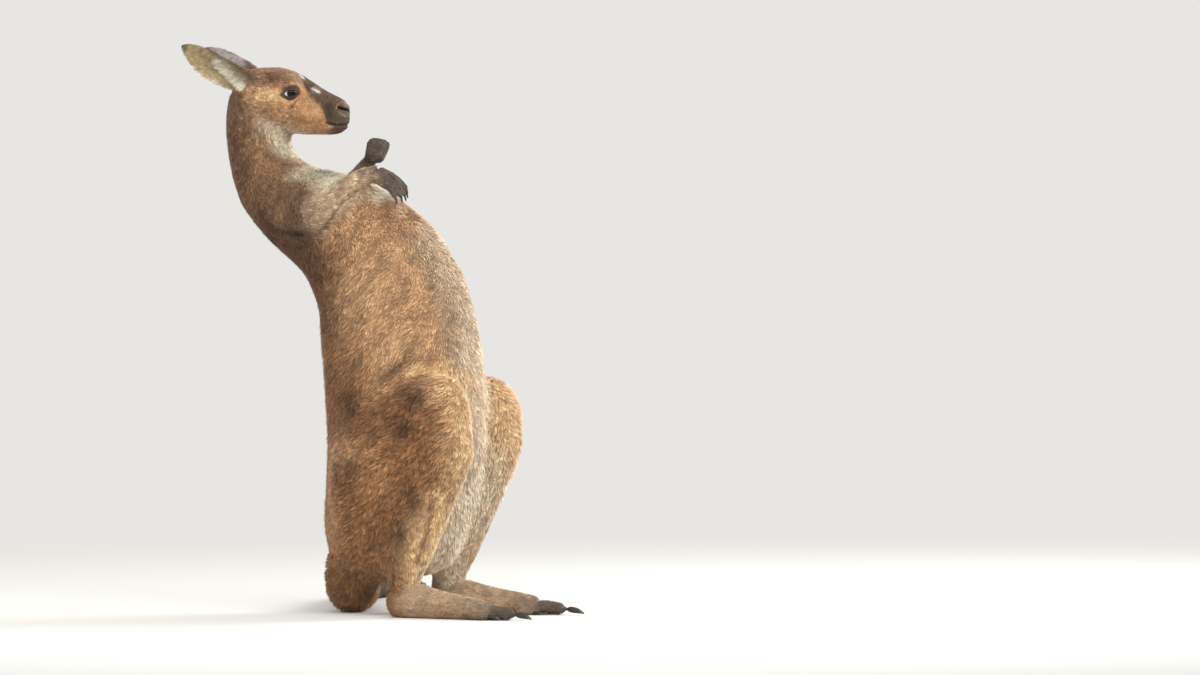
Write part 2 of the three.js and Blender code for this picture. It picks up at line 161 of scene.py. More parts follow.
# The pieces that the coat is made in: nodes and number of tufts.
PIECES = {
    "coat_head": (("head", "nose"), 33000),
    "coat_neck": (("neck",), 25000),
    "coat_chest": (("chest",), 29000),
    "coat_belly": (("belly",), 32000),
    "coat_rump": (("rump",), 20000),
    "coat_thigh_right": (("thigh_right",), 24000),
    "coat_thigh_left": (("thigh_left",), 18000),
    "coat_shanks": (("shank_right", "shank_left"), 12000),
    "coat_arms": (("upper_arm_right", "upper_arm_left", "forearm_right", "forearm_left"), 18000),
    "coat_hands": (("hand_right", "hand_left"), 6000),
    "coat_feet": (("foot_right", "foot_left"), 8500),
    "coat_tail": (("tail_base", "tail_middle", "tail_tip"), 13000),
}
EAR_TUFTS = 9500         # on both ears together
EAR_TUFT_WIDTH = 0.75 * MM
TUFTS_IN_LOCK = 14       # how many tufts draw together into one lock


def linear(*rgb):
    """A colour of 0 to 255 steps as the linear values that a shader takes."""
    value = np.array(rgb) / 255
    return np.where(value <= 0.04045, value / 12.92, ((value + 0.055) / 1.055) ** 2.4)


# ---- settings


def colour_setting(name, description, *rgb):
    """A colour that the sidebar shows."""
    return bpy.props.FloatVectorProperty(
        name=name, description=description, subtype="COLOR", min=0, max=1, default=tuple(linear(*rgb))
    )


class CoatColours(bpy.types.PropertyGroup):
    """Colours of the coat, by place."""

    nape: colour_setting("Nape", "Back of the neck", 112, 80, 56)
    neck: colour_setting("Neck", "Sides of the neck and the shoulders", 150, 115, 84)
    back: colour_setting("Back", "Back above the haunches", 98, 62, 34)
    # shade is painted shade: the dark of the haunch's hollows, the flank's crease, the armpit, the groove
    # behind the shin and the places under the thigh's crest
    shade: colour_setting("Shade", "Dark patches of the haunches", 84, 56, 36)
    flank: colour_setting("Flank", "Sides of the trunk", 146, 106, 70)
    chest: colour_setting("Chest", "Chest and sides of the belly", 198, 153, 113)
    belly: colour_setting("Belly", "Middle of the belly and inner sides of the legs", 216, 192, 164)
    throat: colour_setting("Throat", "Throat and front of the neck", 226, 206, 178)
    thigh: colour_setting("Thigh", "Outside of the thighs", 150, 106, 69)
    # painted highlight: the light colour laid along the crests of the thighs and the edges of the shins
    gold: colour_setting("Gold", "Crests of the thighs and edges of the shins", 242, 194, 142)
    # tan: the knees' and shins' own colour, which on the fronts of the knees stands in part for a painted
    # highlight
    tan: colour_setting("Tan", "Knees and shins", 224, 180, 134)
    arm: colour_setting("Arm", "Forearms, feet and front of the trunk", 186, 158, 128)
    paw: colour_setting("Paw", "Hands and toes", 92, 80, 70)
    cheek: colour_setting("Cheek", "Cheeks and sides of the muzzle", 188, 141, 101)
    temple: colour_setting("Temple", "Light patch behind the eye", 232, 188, 138)
    jowl: colour_setting("Jowl", "Rear of the cheeks", 172, 136, 104)
    crown: colour_setting("Crown", "Top of the head", 160, 124, 96)
    brow: colour_setting("Brow", "Dark fur between eye and ear", 104, 72, 52)
    bridge: colour_setting("Bridge", "Bridge of the nose", 94, 73, 58)
    lip: colour_setting("Lip", "Lips and front of the muzzle", 90, 78, 68)
    # dark also serves as painted shade in the nostrils, the fold ahead of the eye and the wrists' creases
    dark: colour_setting("Dark", "Rims of eyes, nostrils and mouth", 36, 30, 30)
    ear: colour_setting("Ear", "Inside of the ears", 178, 157, 120)
    cream: colour_setting("Cream", "Long hair at the ear's opening", 246, 238, 214)
    haze: colour_setting("Haze", "Pale fur round the white marks", 160, 142, 140)
    ear_back: colour_setting("Ear back", "Outside of the ears", 168, 156, 152)
    tail: colour_setting("Tail", "End of the tail", 86, 68, 54)


class FurSettings(bpy.types.PropertyGroup):
    """How the tufts grow."""

    density: bpy.props.FloatProperty(
        name="Density", description="Share of the full number of tufts", subtype="FACTOR",
        min=0.05, max=1.0, default=1.0,
    )
    stray: bpy.props.FloatProperty(
        name="Stray", description="How far tufts turn from the lie of the coat, in degrees",
        min=0, max=60, default=11,
    )
    seed: bpy.props.IntProperty(name="Seed", description="Seed of every random draw", default=17)


class StageSettings(bpy.types.PropertyGroup):
    """Place of the camera and width of its view."""

    azimuth: bpy.props.FloatProperty(
        name="Azimuth", description="Direction of the camera round the animal, in degrees", default=25
    )
    elevation: bpy.props.FloatProperty(
        name="Elevation", description="Height of the camera, in degrees", default=2
    )
    width: bpy.props.FloatProperty(
        name="Width", description="Width of the view at the animal", unit="LENGTH", default=1.98
    )
    lens: bpy.props.FloatProperty(name="Lens", description="Focal length in millimetres", default=500)


# ---- meshes from arrays


def mesh_object(name, points, faces):
    """A smooth object at the origin from an array of points and one array, or a list, of faces."""
    groups = faces if isinstance(faces, list) else [faces]
    sizes = np.concatenate([np.full(len(group), group.shape[1]) for group in groups])
    corners = np.concatenate([group.ravel() for group in groups])
    mesh = bpy.data.meshes.new(name)
    mesh.vertices.add(len(points))
    mesh.vertices.foreach_set("co", np.asarray(points, np.float32).ravel())
    mesh.loops.add(len(corners))
    mesh.loops.foreach_set("vertex_index", corners.astype(np.int32))
    mesh.polygons.add(len(sizes))
    starts = np.concatenate([[0], np.cumsum(sizes)[:-1]])
    mesh.polygons.foreach_set("loop_start", starts.astype(np.int32))
    mesh.polygons.foreach_set("use_smooth", np.ones(len(sizes), bool))
    mesh.update(calc_edges=True)
    thing = bpy.data.objects.new(name, mesh)
    bpy.context.scene.collection.objects.link(thing)
    return thing


def arrays_of(thing):
    """Points and triangles of an object's evaluated mesh."""
    evaluated = thing.evaluated_get(bpy.context.evaluated_depsgraph_get())
    mesh = evaluated.to_mesh()
    mesh.calc_loop_triangles()
    points = np.empty(len(mesh.vertices) * 3, np.float32)
    mesh.vertices.foreach_get("co", points)
    triangles = np.empty(len(mesh.loop_triangles) * 3, np.int32)
    mesh.loop_triangles.foreach_get("vertices", triangles)
    evaluated.to_mesh_clear()
    return points.reshape(-1, 3).astype(float), triangles.reshape(-1, 3)


def rounded(node, levels):
    """Points and triangles of a node after some steps of subdivision."""
    thing = mesh_object("rounded", *merged(node))
    rounder = thing.modifiers.new("round", "SUBSURF")
    rounder.levels = rounder.render_levels = levels
    points, triangles = arrays_of(thing)
    bpy.data.objects.remove(thing)
    return points, triangles


def vertex_normals(points, triangles):
    """Each vertex's normal: the sum of its faces' normals, each as long as twice its area."""
    corners = points[triangles]
    faces = np.cross(corners[:, 1] - corners[:, 0], corners[:, 2] - corners[:, 0])
    total = np.stack([
        np.bincount(triangles.ravel(), np.repeat(faces[:, axis], 3), len(points)) for axis in range(3)
    ], axis=1)
    return unit(total)


def merged(node):
    """Points and triangles of a node, with its doubled corners made one."""
    points, triangles = arrays_of(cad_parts[node])
    steps = np.round(points / (0.02 * MM)).astype(np.int64)
    _, first, place = np.unique(steps, axis=0, return_index=True, return_inverse=True)
    return points[first], place.ravel()[triangles]


def gathered(nodes, grow, shift=(0, 0, 0)):
    """Several nodes as one set of arrays, pushed out along their normals by `grow` and shifted."""
    sets = []
    for node in nodes:
        points, triangles = merged(node)
        sets.append((points + vertex_normals(points, triangles) * grow + shift, triangles))
    return combined(sets)


def combined(sets):
    """Several pairs of points and triangles as one."""
    starts = np.cumsum([0, *(len(points) for points, _ in sets)])
    return (
        np.concatenate([points for points, _ in sets]),
        np.concatenate([triangles + start for (_, triangles), start in zip(sets, starts)]),
    )


# ---- working on a surface

Net = namedtuple("Net", "to starts degree")


def net_of(triangles, count):
    """The neighbours of each vertex, listed one vertex after the other."""
    ends = np.stack([triangles, np.roll(triangles, -1, axis=1)]).astype(np.int64).reshape(2, -1)
    keys = np.unique(np.concatenate([ends[0] * count + ends[1], ends[1] * count + ends[0]]))
    starts = np.searchsorted(keys // count, np.arange(count))
    degree = np.diff(np.append(starts, len(keys)))
    return Net(keys % count, starts, np.maximum(degree, 1)[:, None])


def smoothed(values, net, rounds, share=0.8):
    """Values drawn to their neighbours' mean, round by round; `rounds` may differ by vertex."""
    flat = values.ndim == 1
    values = values[:, None] if flat else values
    rounds = np.broadcast_to(np.asarray(rounds, float), len(values))[:, None]
    for step in range(int(np.ceil(rounds.max()))):
        mean = np.add.reduceat(values[net.to], net.starts, axis=0) / net.degree
        values = values + share * np.clip(rounds - step, 0, 1) * (mean - values)
    return values[:, 0] if flat else values


def refined(points, triangles, marked, *fields):
    """
    Splits at its middle every edge with both ends marked. A triangle with all three edges
    split becomes four, and one with a single split edge becomes two. Fields of the
    vertices are carried along as means.
    """
    edges = np.stack([triangles, np.roll(triangles, -1, axis=1)], axis=2).reshape(-1, 2)
    edges = np.sort(edges, axis=1).astype(np.int64)
    keys, inverse = np.unique(edges[:, 0] * len(points) + edges[:, 1], return_inverse=True)
    ends = np.stack([keys // len(points), keys % len(points)], axis=1)
    split = marked[ends].all(axis=1)
    middle = np.full(len(ends), -1)
    middle[split] = len(points) + np.arange(split.sum())
    middles = middle[inverse].reshape(-1, 3)
    count = (middles >= 0).sum(axis=1)
    whole, four, two = triangles[count == 0], triangles[count == 3], triangles[count == 1]
    (a, b, c), (ab, bc, ca) = four.T, middles[count == 3].T
    corners = ((a, ab, ca), (ab, b, bc), (ca, bc, c), (ab, bc, ca))
    fours = [np.stack(corner, axis=1) for corner in corners]
    turn = (np.argmax(middles[count == 1] >= 0, axis=1)[:, None] + np.arange(3)) % 3
    a, b, c = np.take_along_axis(two, turn, axis=1).T
    ab = np.take_along_axis(middles[count == 1], turn, axis=1)[:, 0]
    twos = [np.stack(corner, axis=1) for corner in ((a, ab, c), (ab, b, c))]
    carried = [np.concatenate([field, field[ends[split]].mean(axis=1)]) for field in (points, *fields)]
    return [carried[0], np.concatenate([whole, *fours, *twos]), *carried[1:]]


def bump(distance, width):
    """A smooth hill of height one: the bell curve of distance over width."""
    return np.exp(-((distance / width) ** 2))


def ramp(values, start, end):
    """Zero before start, one after end, and a smooth S between."""
    t = np.clip((values - start) / (end - start), 0, 1)
    return t * t * (3 - 2 * t)


def along_path(places, path):
    """Each place's distance to a path of straight stretches, and the share of its length there."""
    path = np.asarray(path, float)
    lengths = np.linalg.norm(np.diff(path, axis=0), axis=1)
    best, where, before = np.full(len(places), np.inf), np.zeros(len(places)), 0.0
    for start, end, length in zip(path[:-1], path[1:], lengths):
        share = np.clip((places - start) @ (end - start) / length**2, 0, 1)
        distance = np.linalg.norm(places - start - share[:, None] * (end - start), axis=1)
        nearer = distance < best
        best = np.where(nearer, distance, best)
        where = np.where(nearer, before + share * length, where)
        before += length
    return best, where / lengths.sum()


def laid(ways, normals):
    """Directions laid flat onto the surface with these normals."""
    return unit(ways - normals * (ways * normals).sum(axis=1, keepdims=True))


def waves(points, length, seed, count=5):
    """A smooth uneven field near -1 to 1: sines in several directions, about one `length` apart."""
    draw = np.random.default_rng(seed)
    directions = unit(draw.normal(size=(count, 3))) * (2 * np.pi / length)
    directions *= draw.uniform(0.7, 1.5, (count, 1))
    return np.sin(points @ directions.T + draw.uniform(0, 2 * np.pi, count)).sum(axis=1) / np.sqrt(count)


def nearest(points, places, rows=1500):
    """For each point the number of the nearest place, worked out a block of rows at a time."""
    squares = (places**2).sum(axis=1)
    blocks = (points[start:start + rows] for start in range(0, len(points), rows))
    return np.concatenate([np.argmin(squares - 2 * (block @ places.T), axis=1) for block in blocks])


UNWRAP_ANGLE = 1.15      # radians that a face may turn from its island's
UNWRAP_MARGIN = 0.002    # and the room between islands


def unwrapped(points, triangles):
    """A flat unwrap of a surface by its own shape: the uv of every corner of every triangle."""
    thing = mesh_object("unwrap", points, triangles)
    bpy.context.view_layer.objects.active = thing
    thing.data.uv_layers.new(name="unwrap")
    bpy.ops.object.mode_set(mode="EDIT")
    bpy.ops.mesh.select_all(action="SELECT")
    bpy.ops.uv.smart_project(angle_limit=UNWRAP_ANGLE, island_margin=UNWRAP_MARGIN)
    bpy.ops.object.mode_set(mode="OBJECT")
    uv = np.empty(len(triangles) * 6, np.float32)
    thing.data.uv_layers["unwrap"].uv.foreach_get("vector", uv)
    mesh = thing.data
    bpy.data.objects.remove(thing)
    bpy.data.meshes.remove(mesh)
    return uv.reshape(-1, 3, 2)


# ---- the skin's shape

VOXEL = 6 * MM           # grain of the trunk's skin; the head is split finer
SMALL_VOXEL = {"hand": 1.4 * MM, "foot": 2.2 * MM}
SMALL_PLUG = {"hand": ("forearm", 1.8 * MM, 7 * MM), "foot": ("shank", 3.5 * MM, 7 * MM)}
SHANK_TOP, SHANK_FOOT = (0.82, 0.5, 1.0), (0.18, 0.5, 0.0)   # ends of a shank, as shares of its box
PLUG_END = 0.35          # how far up the shank a foot's plug reaches
PLUG_SHRINK = 0.3        # how thick its drawn-back end is, as a share
LIE_WAVER = 0.22         # how much the lie of the coat wavers
FILL_ROUNDS = 24         # how far the hollows between forms are filled
SHOULDER_ROUNDS = 170    # and how much further round the shoulders
SEAM_ROUNDS = 45         # smoothing where the upper arms meet the trunk
BLADE_ROUNDS = 240       # and over the rear of the shoulders
KNEE_ROUNDS = 5          # and where the shanks leave the thighs
BROAD_ROUNDS = 40        # smoothing of the way a place faces, by which the coat is coloured
NODE_GAP = 0.45 * MM     # nodes grow by this, so that the gaps between them close
LID_GAP = 0.9 * MM       # lids stand this far out from the eyeball
EYE_OPEN = (11.6, 3.9)   # half length and half height of the open eye, in millimetres
LID_WIDE = (5.6, 10.0, 6.6)  # the dark lids' width at the corners, above and below the open eye
LID_SKEW = 0.30          # the upper lid's dark peak lies this much ahead for each unit up
EYE_TILT = -5            # degrees that the eye's front corner sits below its rear one
EYE_RAISED = 0.4         # the open eye's middle lies this much above the ball's, in millimetres
EYE_CORNER = 1.25        # power that draws the open eye's oval to its corners
EYE_FLAT_TOP = 0.86      # height of its upper side, as a share of its lower one
EYE_OUT = (0.12, 0.10)   # how far an eye looks ahead and up for each unit out
LID_MIDDLE = (-0.6, -0.6)  # middle of the dark lids ahead of and above the ball's, in millimetres
LID_CORNER = 1.4         # power of the dark lids' shape: 2 is an oval and 1 a lozenge
LID_REACH = (9, 2)       # skin this far from the ball starts to follow it, and does in full
LID_EDGE = 0.9           # how far the lids' edge swells, in millimetres
EYE_BEHIND = 0.80        # skin inside the opening lies at this share of the ball's radius
SKIN_FLOOR = 0.4 * MM    # nothing of the skin lies lower
ARM_DROP = (60, 20)      # the shoulders' smoothing sets in this far below the arms' middle, and is full
BLADE_REACH = (50, 15)   # and over the shoulder blades this far ahead of it
KNEE_HEIGHT = (0.10, 0.13)   # and at the knees between these heights

# Grooves of the face on both sides: the points, x and z in the head's millimetres, then
# width and depth.
MOUTH = [(99, -51), (92, -54.5), (72, -55), (62, -53), (56, -51)]   # from the nose to the corner
FACE_LINES = [
    (MOUTH, 1.6, 2.0),
    # line that runs down and back from under the eye
    ([(9, -11), (6, -16), (0, -23), (-6, -29)], 1.9, 0.9),
    # hollow between the eye and the bridge, with the fold ahead of it
    ([(16, 8), (26, 2), (36, -6)], 5.0, 1.4),
    ([(17, 18), (25, 5)], 1.6, 0.9),
]
# Lines of the muzzle in the same numbers: the nostril, the rim over it and the fold below.
NOSTRIL = [(76.5, -25.5), (83, -28), (89, -29.5), (94, -33), (97.5, -37.5)]
NOSE_ARC = [(72, -27), (74, -21.5), (82, -16), (92, -19), (96, -24)]
NOSE_FOLD = [(76, -32), (80, -36.5), (86, -40)]
NOSE_TIP, NOSE_BARE = (90, -30), 13   # middle and radius of the bare nose
# Where the skin is split finer: the face from here on, round the eyes, and the nose.
FACE_FROM, EYE_ROOM, NOSE_FROM = -34, 21 * MM, (66, -12)


def node_weights(points):
    """How much each vertex belongs to each flesh node: one for the nearest."""
    samples, owner = [], []
    for index, node in enumerate(FLESH):
        corners, triangles = merged(node)
        spots = np.concatenate([corners, corners[triangles].mean(axis=1)])
        samples.append(spots)
        owner.append(np.full(len(spots), index))
    owner = np.concatenate(owner)[nearest(points, np.concatenate(samples))]
    return np.eye(len(FLESH))[owner]


def by_node(weights, field):
    """A number of the coat's table, blended by how much each vertex belongs to each node."""
    return weights @ np.array([getattr(COAT[node], field) for node in FLESH])


def belongs(weights, *names):
    """Share of each vertex that belongs to the nodes whose names start with one of these."""
    return weights[:, [i for i, node in enumerate(FLESH) if node.startswith(names)]].sum(axis=1)


def remeshed(points, triangles, grain):
    """An object that wraps one closed surface round a set of solids, at a grain."""
    union = mesh_object("union", points, triangles)
    remesh = union.modifiers.new("remesh", "REMESH")
    remesh.mode, remesh.voxel_size = "VOXEL", grain
    return union


def lower_end(points, start, way):
    """A limb's end: what lies past PLUG_END of its length is drawn back to there, near its middle."""
    share = (points - start) @ way / (way @ way)
    middle = start + share[:, None] * way
    past = share > PLUG_END
    points = middle + (points - middle) * np.where(past, PLUG_SHRINK, 1.0)[:, None]
    return points - way * np.where(past, share - PLUG_END, 0)[:, None]


def whole_surface():
    """
    One closed surface round all flesh nodes and eyes. Hands and feet are wrapped at a finer
    grain, each round a plug that reaches into the limb it hangs on, and joined to the rest.
    """
    large = [node for node in FLESH if not node.startswith(tuple(SMALL_VOXEL))]
    body = remeshed(*gathered([*large, "eye_right", "eye_left"], NODE_GAP), VOXEL)
    used = [body]
    for part, grain in SMALL_VOXEL.items():
        limb, thinner, deeper = SMALL_PLUG[part]
        for side in SIDES:
            node, carrier = f"{part}_{side}", f"{limb}_{side}"
            way = centre(node) - centre(carrier)
            if part == "foot":
                way = place_in(carrier, SHANK_FOOT) - place_in(carrier, SHANK_TOP)
            plug, faces = gathered([carrier], -thinner, unit(way) * deeper)
            if part == "foot":
                plug = lower_end(plug, place_in(carrier, SHANK_FOOT), -way)
            small = remeshed(*combined([gathered([node], NODE_GAP), (plug, faces)]), grain)
            join = body.modifiers.new(node, "BOOLEAN")
            join.operation, join.solver, join.object = "UNION", "MANIFOLD", small
            used.append(small)
    points, triangles = arrays_of(body)
    for thing in used:
        bpy.data.objects.remove(thing)
    return points, triangles


def filled(points, triangles, net, rounds, share):
    """Fillets hollows between forms: points in one move out towards their neighbours' mean."""
    for step in range(rounds):
        if step % 4 == 0:
            normals = vertex_normals(points, triangles)
        mean = np.add.reduceat(points[net.to], net.starts, axis=0) / net.degree
        out = np.maximum(((mean - points) * normals).sum(axis=1), 0)
        points = points + normals * (out * share)[:, None]
    return points


def eye_places(points, side):
    """Points seen from an eye's centre in millimetres: ahead, up and out, along the slit's own tilt."""
    out = unit(HEAD_Y * (-1 if side == "right" else 1) + EYE_OUT[0] * HEAD_X + EYE_OUT[1] * HEAD_Z)
    tilt = np.radians(EYE_TILT)
    ahead = HEAD_X * np.cos(tilt) - HEAD_Z * np.sin(tilt)
    ahead = unit(ahead - out * (ahead @ out))
    up = np.cross(ahead, out) * (1 if side == "right" else -1)
    up = up if up @ HEAD_Z > 0 else -up
    return (points - EYES[side]) @ np.stack([ahead, up, out], axis=1) / MM, (ahead, up, out)


def eye_edge(angle):
    """
    The open eye's edge seen from outside: an oval drawn out to a corner at both ends, with
    its upper side flatter than its lower one.
    """
    long, high = EYE_OPEN
    ahead = long * np.cos(angle)
    side = np.sin(angle)
    up = high * np.sign(side) * np.abs(side) ** EYE_CORNER
    return ahead, np.where(up > 0, up * EYE_FLAT_TOP, up) + EYE_RAISED


def eye_openness(places):
    """Under one inside the open eye, and over one outside it."""
    long, high = EYE_OPEN
    ahead, up = places[:, 0] / long, (places[:, 1] - EYE_RAISED) / high
    up = np.where(up > 0, up / EYE_FLAT_TOP, up)
    limit = np.clip(1 - ahead**2, 0, 1) ** (EYE_CORNER / 2)
    return np.where(np.abs(ahead) < 1, np.abs(up) / np.maximum(limit, 1e-3), 2.0)


def with_lids(points):
    """
    Lids draped over each eyeball: near the ball, skin is pushed out to the ball's radius and
    the lid's thickness, and inside the opening it is drawn in behind the ball.
    """
    radius = EYE_RADIUS / MM
    for side in SIDES:
        places, axes = eye_places(points, side)
        distance = np.linalg.norm(places, axis=1)
        facing = places[:, 2] > 1.5
        openness = eye_openness(places)
        lid = radius + LID_GAP / MM + LID_EDGE * bump(openness - 1.25, 0.35)
        near = ramp(distance, radius + LID_REACH[0], radius + LID_REACH[1]) * facing
        near = near * (np.abs(places[:, 0]) < radius * 1.25)
        target = np.where(openness < 1, radius * EYE_BEHIND, np.maximum(distance, lid))
        reach = np.where(openness < 1, 1.0, near)
        moved = places * ((distance + (target - distance) * reach) / np.maximum(distance, 1e-6))[:, None]
        change = np.where((facing & (distance < radius + LID_REACH[0]))[:, None], moved - places, 0)
        points = points + change @ np.stack(axes) * MM
    return points


def with_face(points, normals, weights):
    """Mouth, nostrils, cheeks and the hollows of the face, as hills and grooves along lines."""
    head = belongs(weights, "head", "nose")
    places = to_head(points)
    flat = side_view(places)
    side = np.abs(places[:, 1])
    on_side = ramp(side, 3.0, 6.0)
    rise = np.zeros(len(points))
    for path, width, depth in FACE_LINES:
        distance, _ = along_path(flat, path)
        rise -= depth * bump(distance, width)
    # nostril: a slit that narrows to the front, with a raised wing above and a fold below
    distance, share = along_path(flat, NOSTRIL)
    slit = bump(distance, 2.3 * (1.15 - 0.6 * share)) * on_side
    rim = bump(distance - 4.2, 2.0) * on_side * ramp(flat[:, 1], -38, -29)
    arc, _ = along_path(flat, NOSE_ARC)
    fold, _ = along_path(flat, NOSE_FOLD)
    rise += 1.5 * rim - 5.0 * slit + (0.6 * bump(arc, 1.5) + 0.7 * bump(fold, 1.8)) * on_side
    # the lips stand out a little along the mouth, and the cheek swells behind its corner
    mouth, _ = along_path(flat, MOUTH)
    rise += 1.0 * bump(mouth - 4.5, 2.6) * on_side
    rise += 1.6 * bump(np.hypot(flat[:, 0] - 38, flat[:, 1] + 40), 15) * on_side
    rise += 1.4 * bump(np.hypot(flat[:, 0] + 30, flat[:, 1] + 8), 14) * ramp(side, 14, 26)
    # the bridge falls away to a groove between the nostrils
    rise -= 1.4 * bump(places[:, 1], 1.3) * ramp(flat[:, 0], 86, 93) * bump(flat[:, 1] + 38, 9)
    # a brow ridge over each eye
    brow, _ = along_path(flat, [(20, 9), (6, 15.5), (-10, 13)])
    rise += 1.5 * bump(brow, 3.4) * ramp(side, 14, 26)
    # whisker pads stipple the side of the muzzle
    pad = bump(np.hypot((flat[:, 0] - 72) / 1.3, flat[:, 1] + 40), 9) * on_side
    rise += 0.35 * pad * waves(points, 0.0042, 31)
    return points + normals * (rise * head * MM)[:, None]


THIGH, SHANK = "thigh_right", "shank_right"

# Folds of the body's skin, on both sides alike: the points, each a node with shares of its
# box, then width and depth in millimetres. A negative depth raises the fold.
BODY_FOLDS = [
    # behind the shoulder, from the neck down to the armpit
    ([("neck", 0.72, 0.10, 0.38), ("neck", 0.80, 0.05, 0.20), ("chest", 0.14, 0.04, 0.50)], 9, 2.6),
    # creases that run down the flank to the thigh
    ([("belly", 0.56, 0.06, 0.86), ("belly", 0.62, 0.05, 0.68), ("belly", 0.60, 0.05, 0.52)], 8, 2.0),
    ([("belly", 0.78, 0.10, 0.60), ("belly", 0.70, 0.07, 0.47), ("belly", 0.52, 0.06, 0.36)], 6, 2.6),
    # the crest of the thigh, where the flank's coat runs over it
    ([(THIGH, 0.55, 0.03, 0.93), (THIGH, 0.78, 0.08, 0.99), (THIGH, 0.93, 0.2, 0.9)], 9, -3.0),
    # hollows of the haunch
    ([(THIGH, 0.32, 0.06, 0.80), (THIGH, 0.24, 0.08, 0.58), (THIGH, 0.22, 0.12, 0.36)], 14, 4.0),
    ([(THIGH, 0.70, 0.03, 0.66), (THIGH, 0.58, 0.03, 0.50), (THIGH, 0.50, 0.06, 0.22)], 14, 3.0),
    # the shin's edge and the tendon behind it
    ([(THIGH, 0.88, 0.20, 0.44), (SHANK, 0.86, 0.22, 0.70), (SHANK, 0.64, 0.35, 0.32)], 5, -2.6),
    ([(THIGH, 0.80, 0.12, 0.42), (SHANK, 0.66, 0.10, 0.62), (SHANK, 0.42, 0.2, 0.3)], 6, 2.0),
    # the shoulder blades
    ([("chest", 0.06, 0.20, 0.62), ("chest", 0.16, 0.10, 0.80)], 22, -3.0),
]
# Creases across the wrists: how many, how far apart and deep; where on the hand their middle
# lies, as shares of its box, and the way they follow one another.
WRINKLES = {"count": 5, "apart": 4.2 * MM, "deep": {"right": 0.7 * MM, "left": 2.0 * MM}}
WRIST_PLACE = {"right": (0.0, 0.3, 0.7), "left": (0.4, 0.4, 0.10)}
WRINKLE_WAY = {"right": (0.8, 0.3, -0.5), "left": (-0.5, 0.1, 0.86)}


def fold_paths():
    """Every fold as points of the frame with its width and depth, and its mirror on the other side."""
    for shares, width, depth in BODY_FOLDS:
        for side in SIDES:
            nodes = [node.replace("right", side) for node, *_ in shares]
            places = [(x, y if side == "right" else 1 - y, z) for _, x, y, z in shares]
            yield [place_in(node, place) for node, place in zip(nodes, places)], width, depth


def with_folds(points, normals):
    """Broad folds and muscle lines, each a groove or ridge along a line."""
    rise = np.zeros(len(points))
    for path, width, depth in fold_paths():
        distance, share = along_path(points, path)
        ends = ramp(share, 0, 0.15) * ramp(share, 1, 0.85)
        rise -= depth * bump(distance, width * MM) * (0.25 + 0.75 * ends)
    return points + normals * (rise * MM)[:, None]


def wrist_crease(points, weights, side):
    """How deep in a wrist's creases a point lies, from 0 to 1: a sine across them that fades out."""
    wrist = place_in(f"hand_{side}", WRIST_PLACE[side])
    distance = (points - wrist) @ unit(np.array(WRINKLE_WAY[side])) + 0.0012 * waves(points, 0.03, 12)
    fade = bump(distance, WRINKLES["count"] * WRINKLES["apart"] / 2)
    fade = fade * belongs(weights, f"hand_{side}", f"forearm_{side}")
    wave = 1 - 2 * np.abs(np.sin(distance * np.pi / WRINKLES["apart"])) ** 0.6
    return np.maximum(wave, 0) * fade


def with_wrinkles(points, normals, weights):
    """Creases across the bent wrists."""
    for side in SIDES:
        points = points - normals * (wrist_crease(points, weights, side) * WRINKLES["deep"][side])[:, None]
    return points


def finer(points, weights):
    """Marks of the three steps of splitting: the head and forearms, then the face, then eyes and nose."""
    places = to_head(points)
    first = belongs(weights, "head", "nose", "forearm") > 0.35
    face = (belongs(weights, "head", "nose") > 0.5) & (places[:, 0] > FACE_FROM)
    eyes = np.minimum(*(np.linalg.norm(points - EYES[side], axis=1) for side in SIDES)) < EYE_ROOM
    nose = (places[:, 0] > NOSE_FROM[0]) & (places[:, 2] < NOSE_FROM[1])
    return first, face, eyes | (nose & face)


Skin = namedtuple("Skin", "points triangles normals weights lie broad")


def flesh_surface():
    """
    The union of the nodes of flesh, with each vertex's share of the nodes: smoothed, with
    the smoothing's own shrinking given back, and its hollows filled. The shoulders and knees
    are filled and smoothed further.
    """
    points, triangles = whole_surface()
    net = net_of(triangles, len(points))
    weights = smoothed(node_weights(points), net, 5)
    rounds = by_node(weights, "rounds")
    soft = smoothed(points, net, rounds)
    normals = vertex_normals(soft, triangles)
    lost = smoothed(((points - soft) * normals).sum(axis=1), net, rounds)
    points = soft + normals * lost[:, None]
    fleshy = 1 - np.clip(belongs(weights, "head", "nose", "hand", "foot") * 2, 0, 1)
    points = filled(points, triangles, net, FILL_ROUNDS, 0.8 * fleshy)
    arm = smoothed(belongs(weights, "upper_arm"), net, 14)
    ahead, _, height = centre("upper_arm_right")
    above = ramp(points[:, 2], *(height - drop * MM for drop in ARM_DROP))
    near_arm = np.clip(arm * 4, 0, 1) * above * fleshy
    points = filled(points, triangles, net, SHOULDER_ROUNDS, 0.8 * near_arm)
    points = smoothed(points, net, SEAM_ROUNDS * near_arm * np.clip(5 * arm * (1 - arm), 0, 1))
    behind = ramp(points[:, 0], *(ahead + reach * MM for reach in BLADE_REACH))
    points = smoothed(points, net, BLADE_ROUNDS * near_arm * behind)
    knee = np.clip(smoothed(belongs(weights, "shank"), net, 6) * 3, 0, 1)
    points = smoothed(points, net, KNEE_ROUNDS * knee * ramp(points[:, 2], *KNEE_HEIGHT))
    return points, triangles, weights


def with_finer_head(points, triangles, weights):
    """The head and forearms split finer in three steps, each smoothed where it was split."""
    for level in range(3):
        marked = finer(points, weights)[level]
        before = len(points)
        points, triangles, weights = refined(points, triangles, marked, weights)
        net = net_of(triangles, len(points))
        touched = np.concatenate([marked.astype(float), np.ones(len(points) - before)])
        points = smoothed(points, net, (3 - level) * np.clip(smoothed(touched, net, 2) * 1.5, 0, 1))
    return points, triangles, weights, net


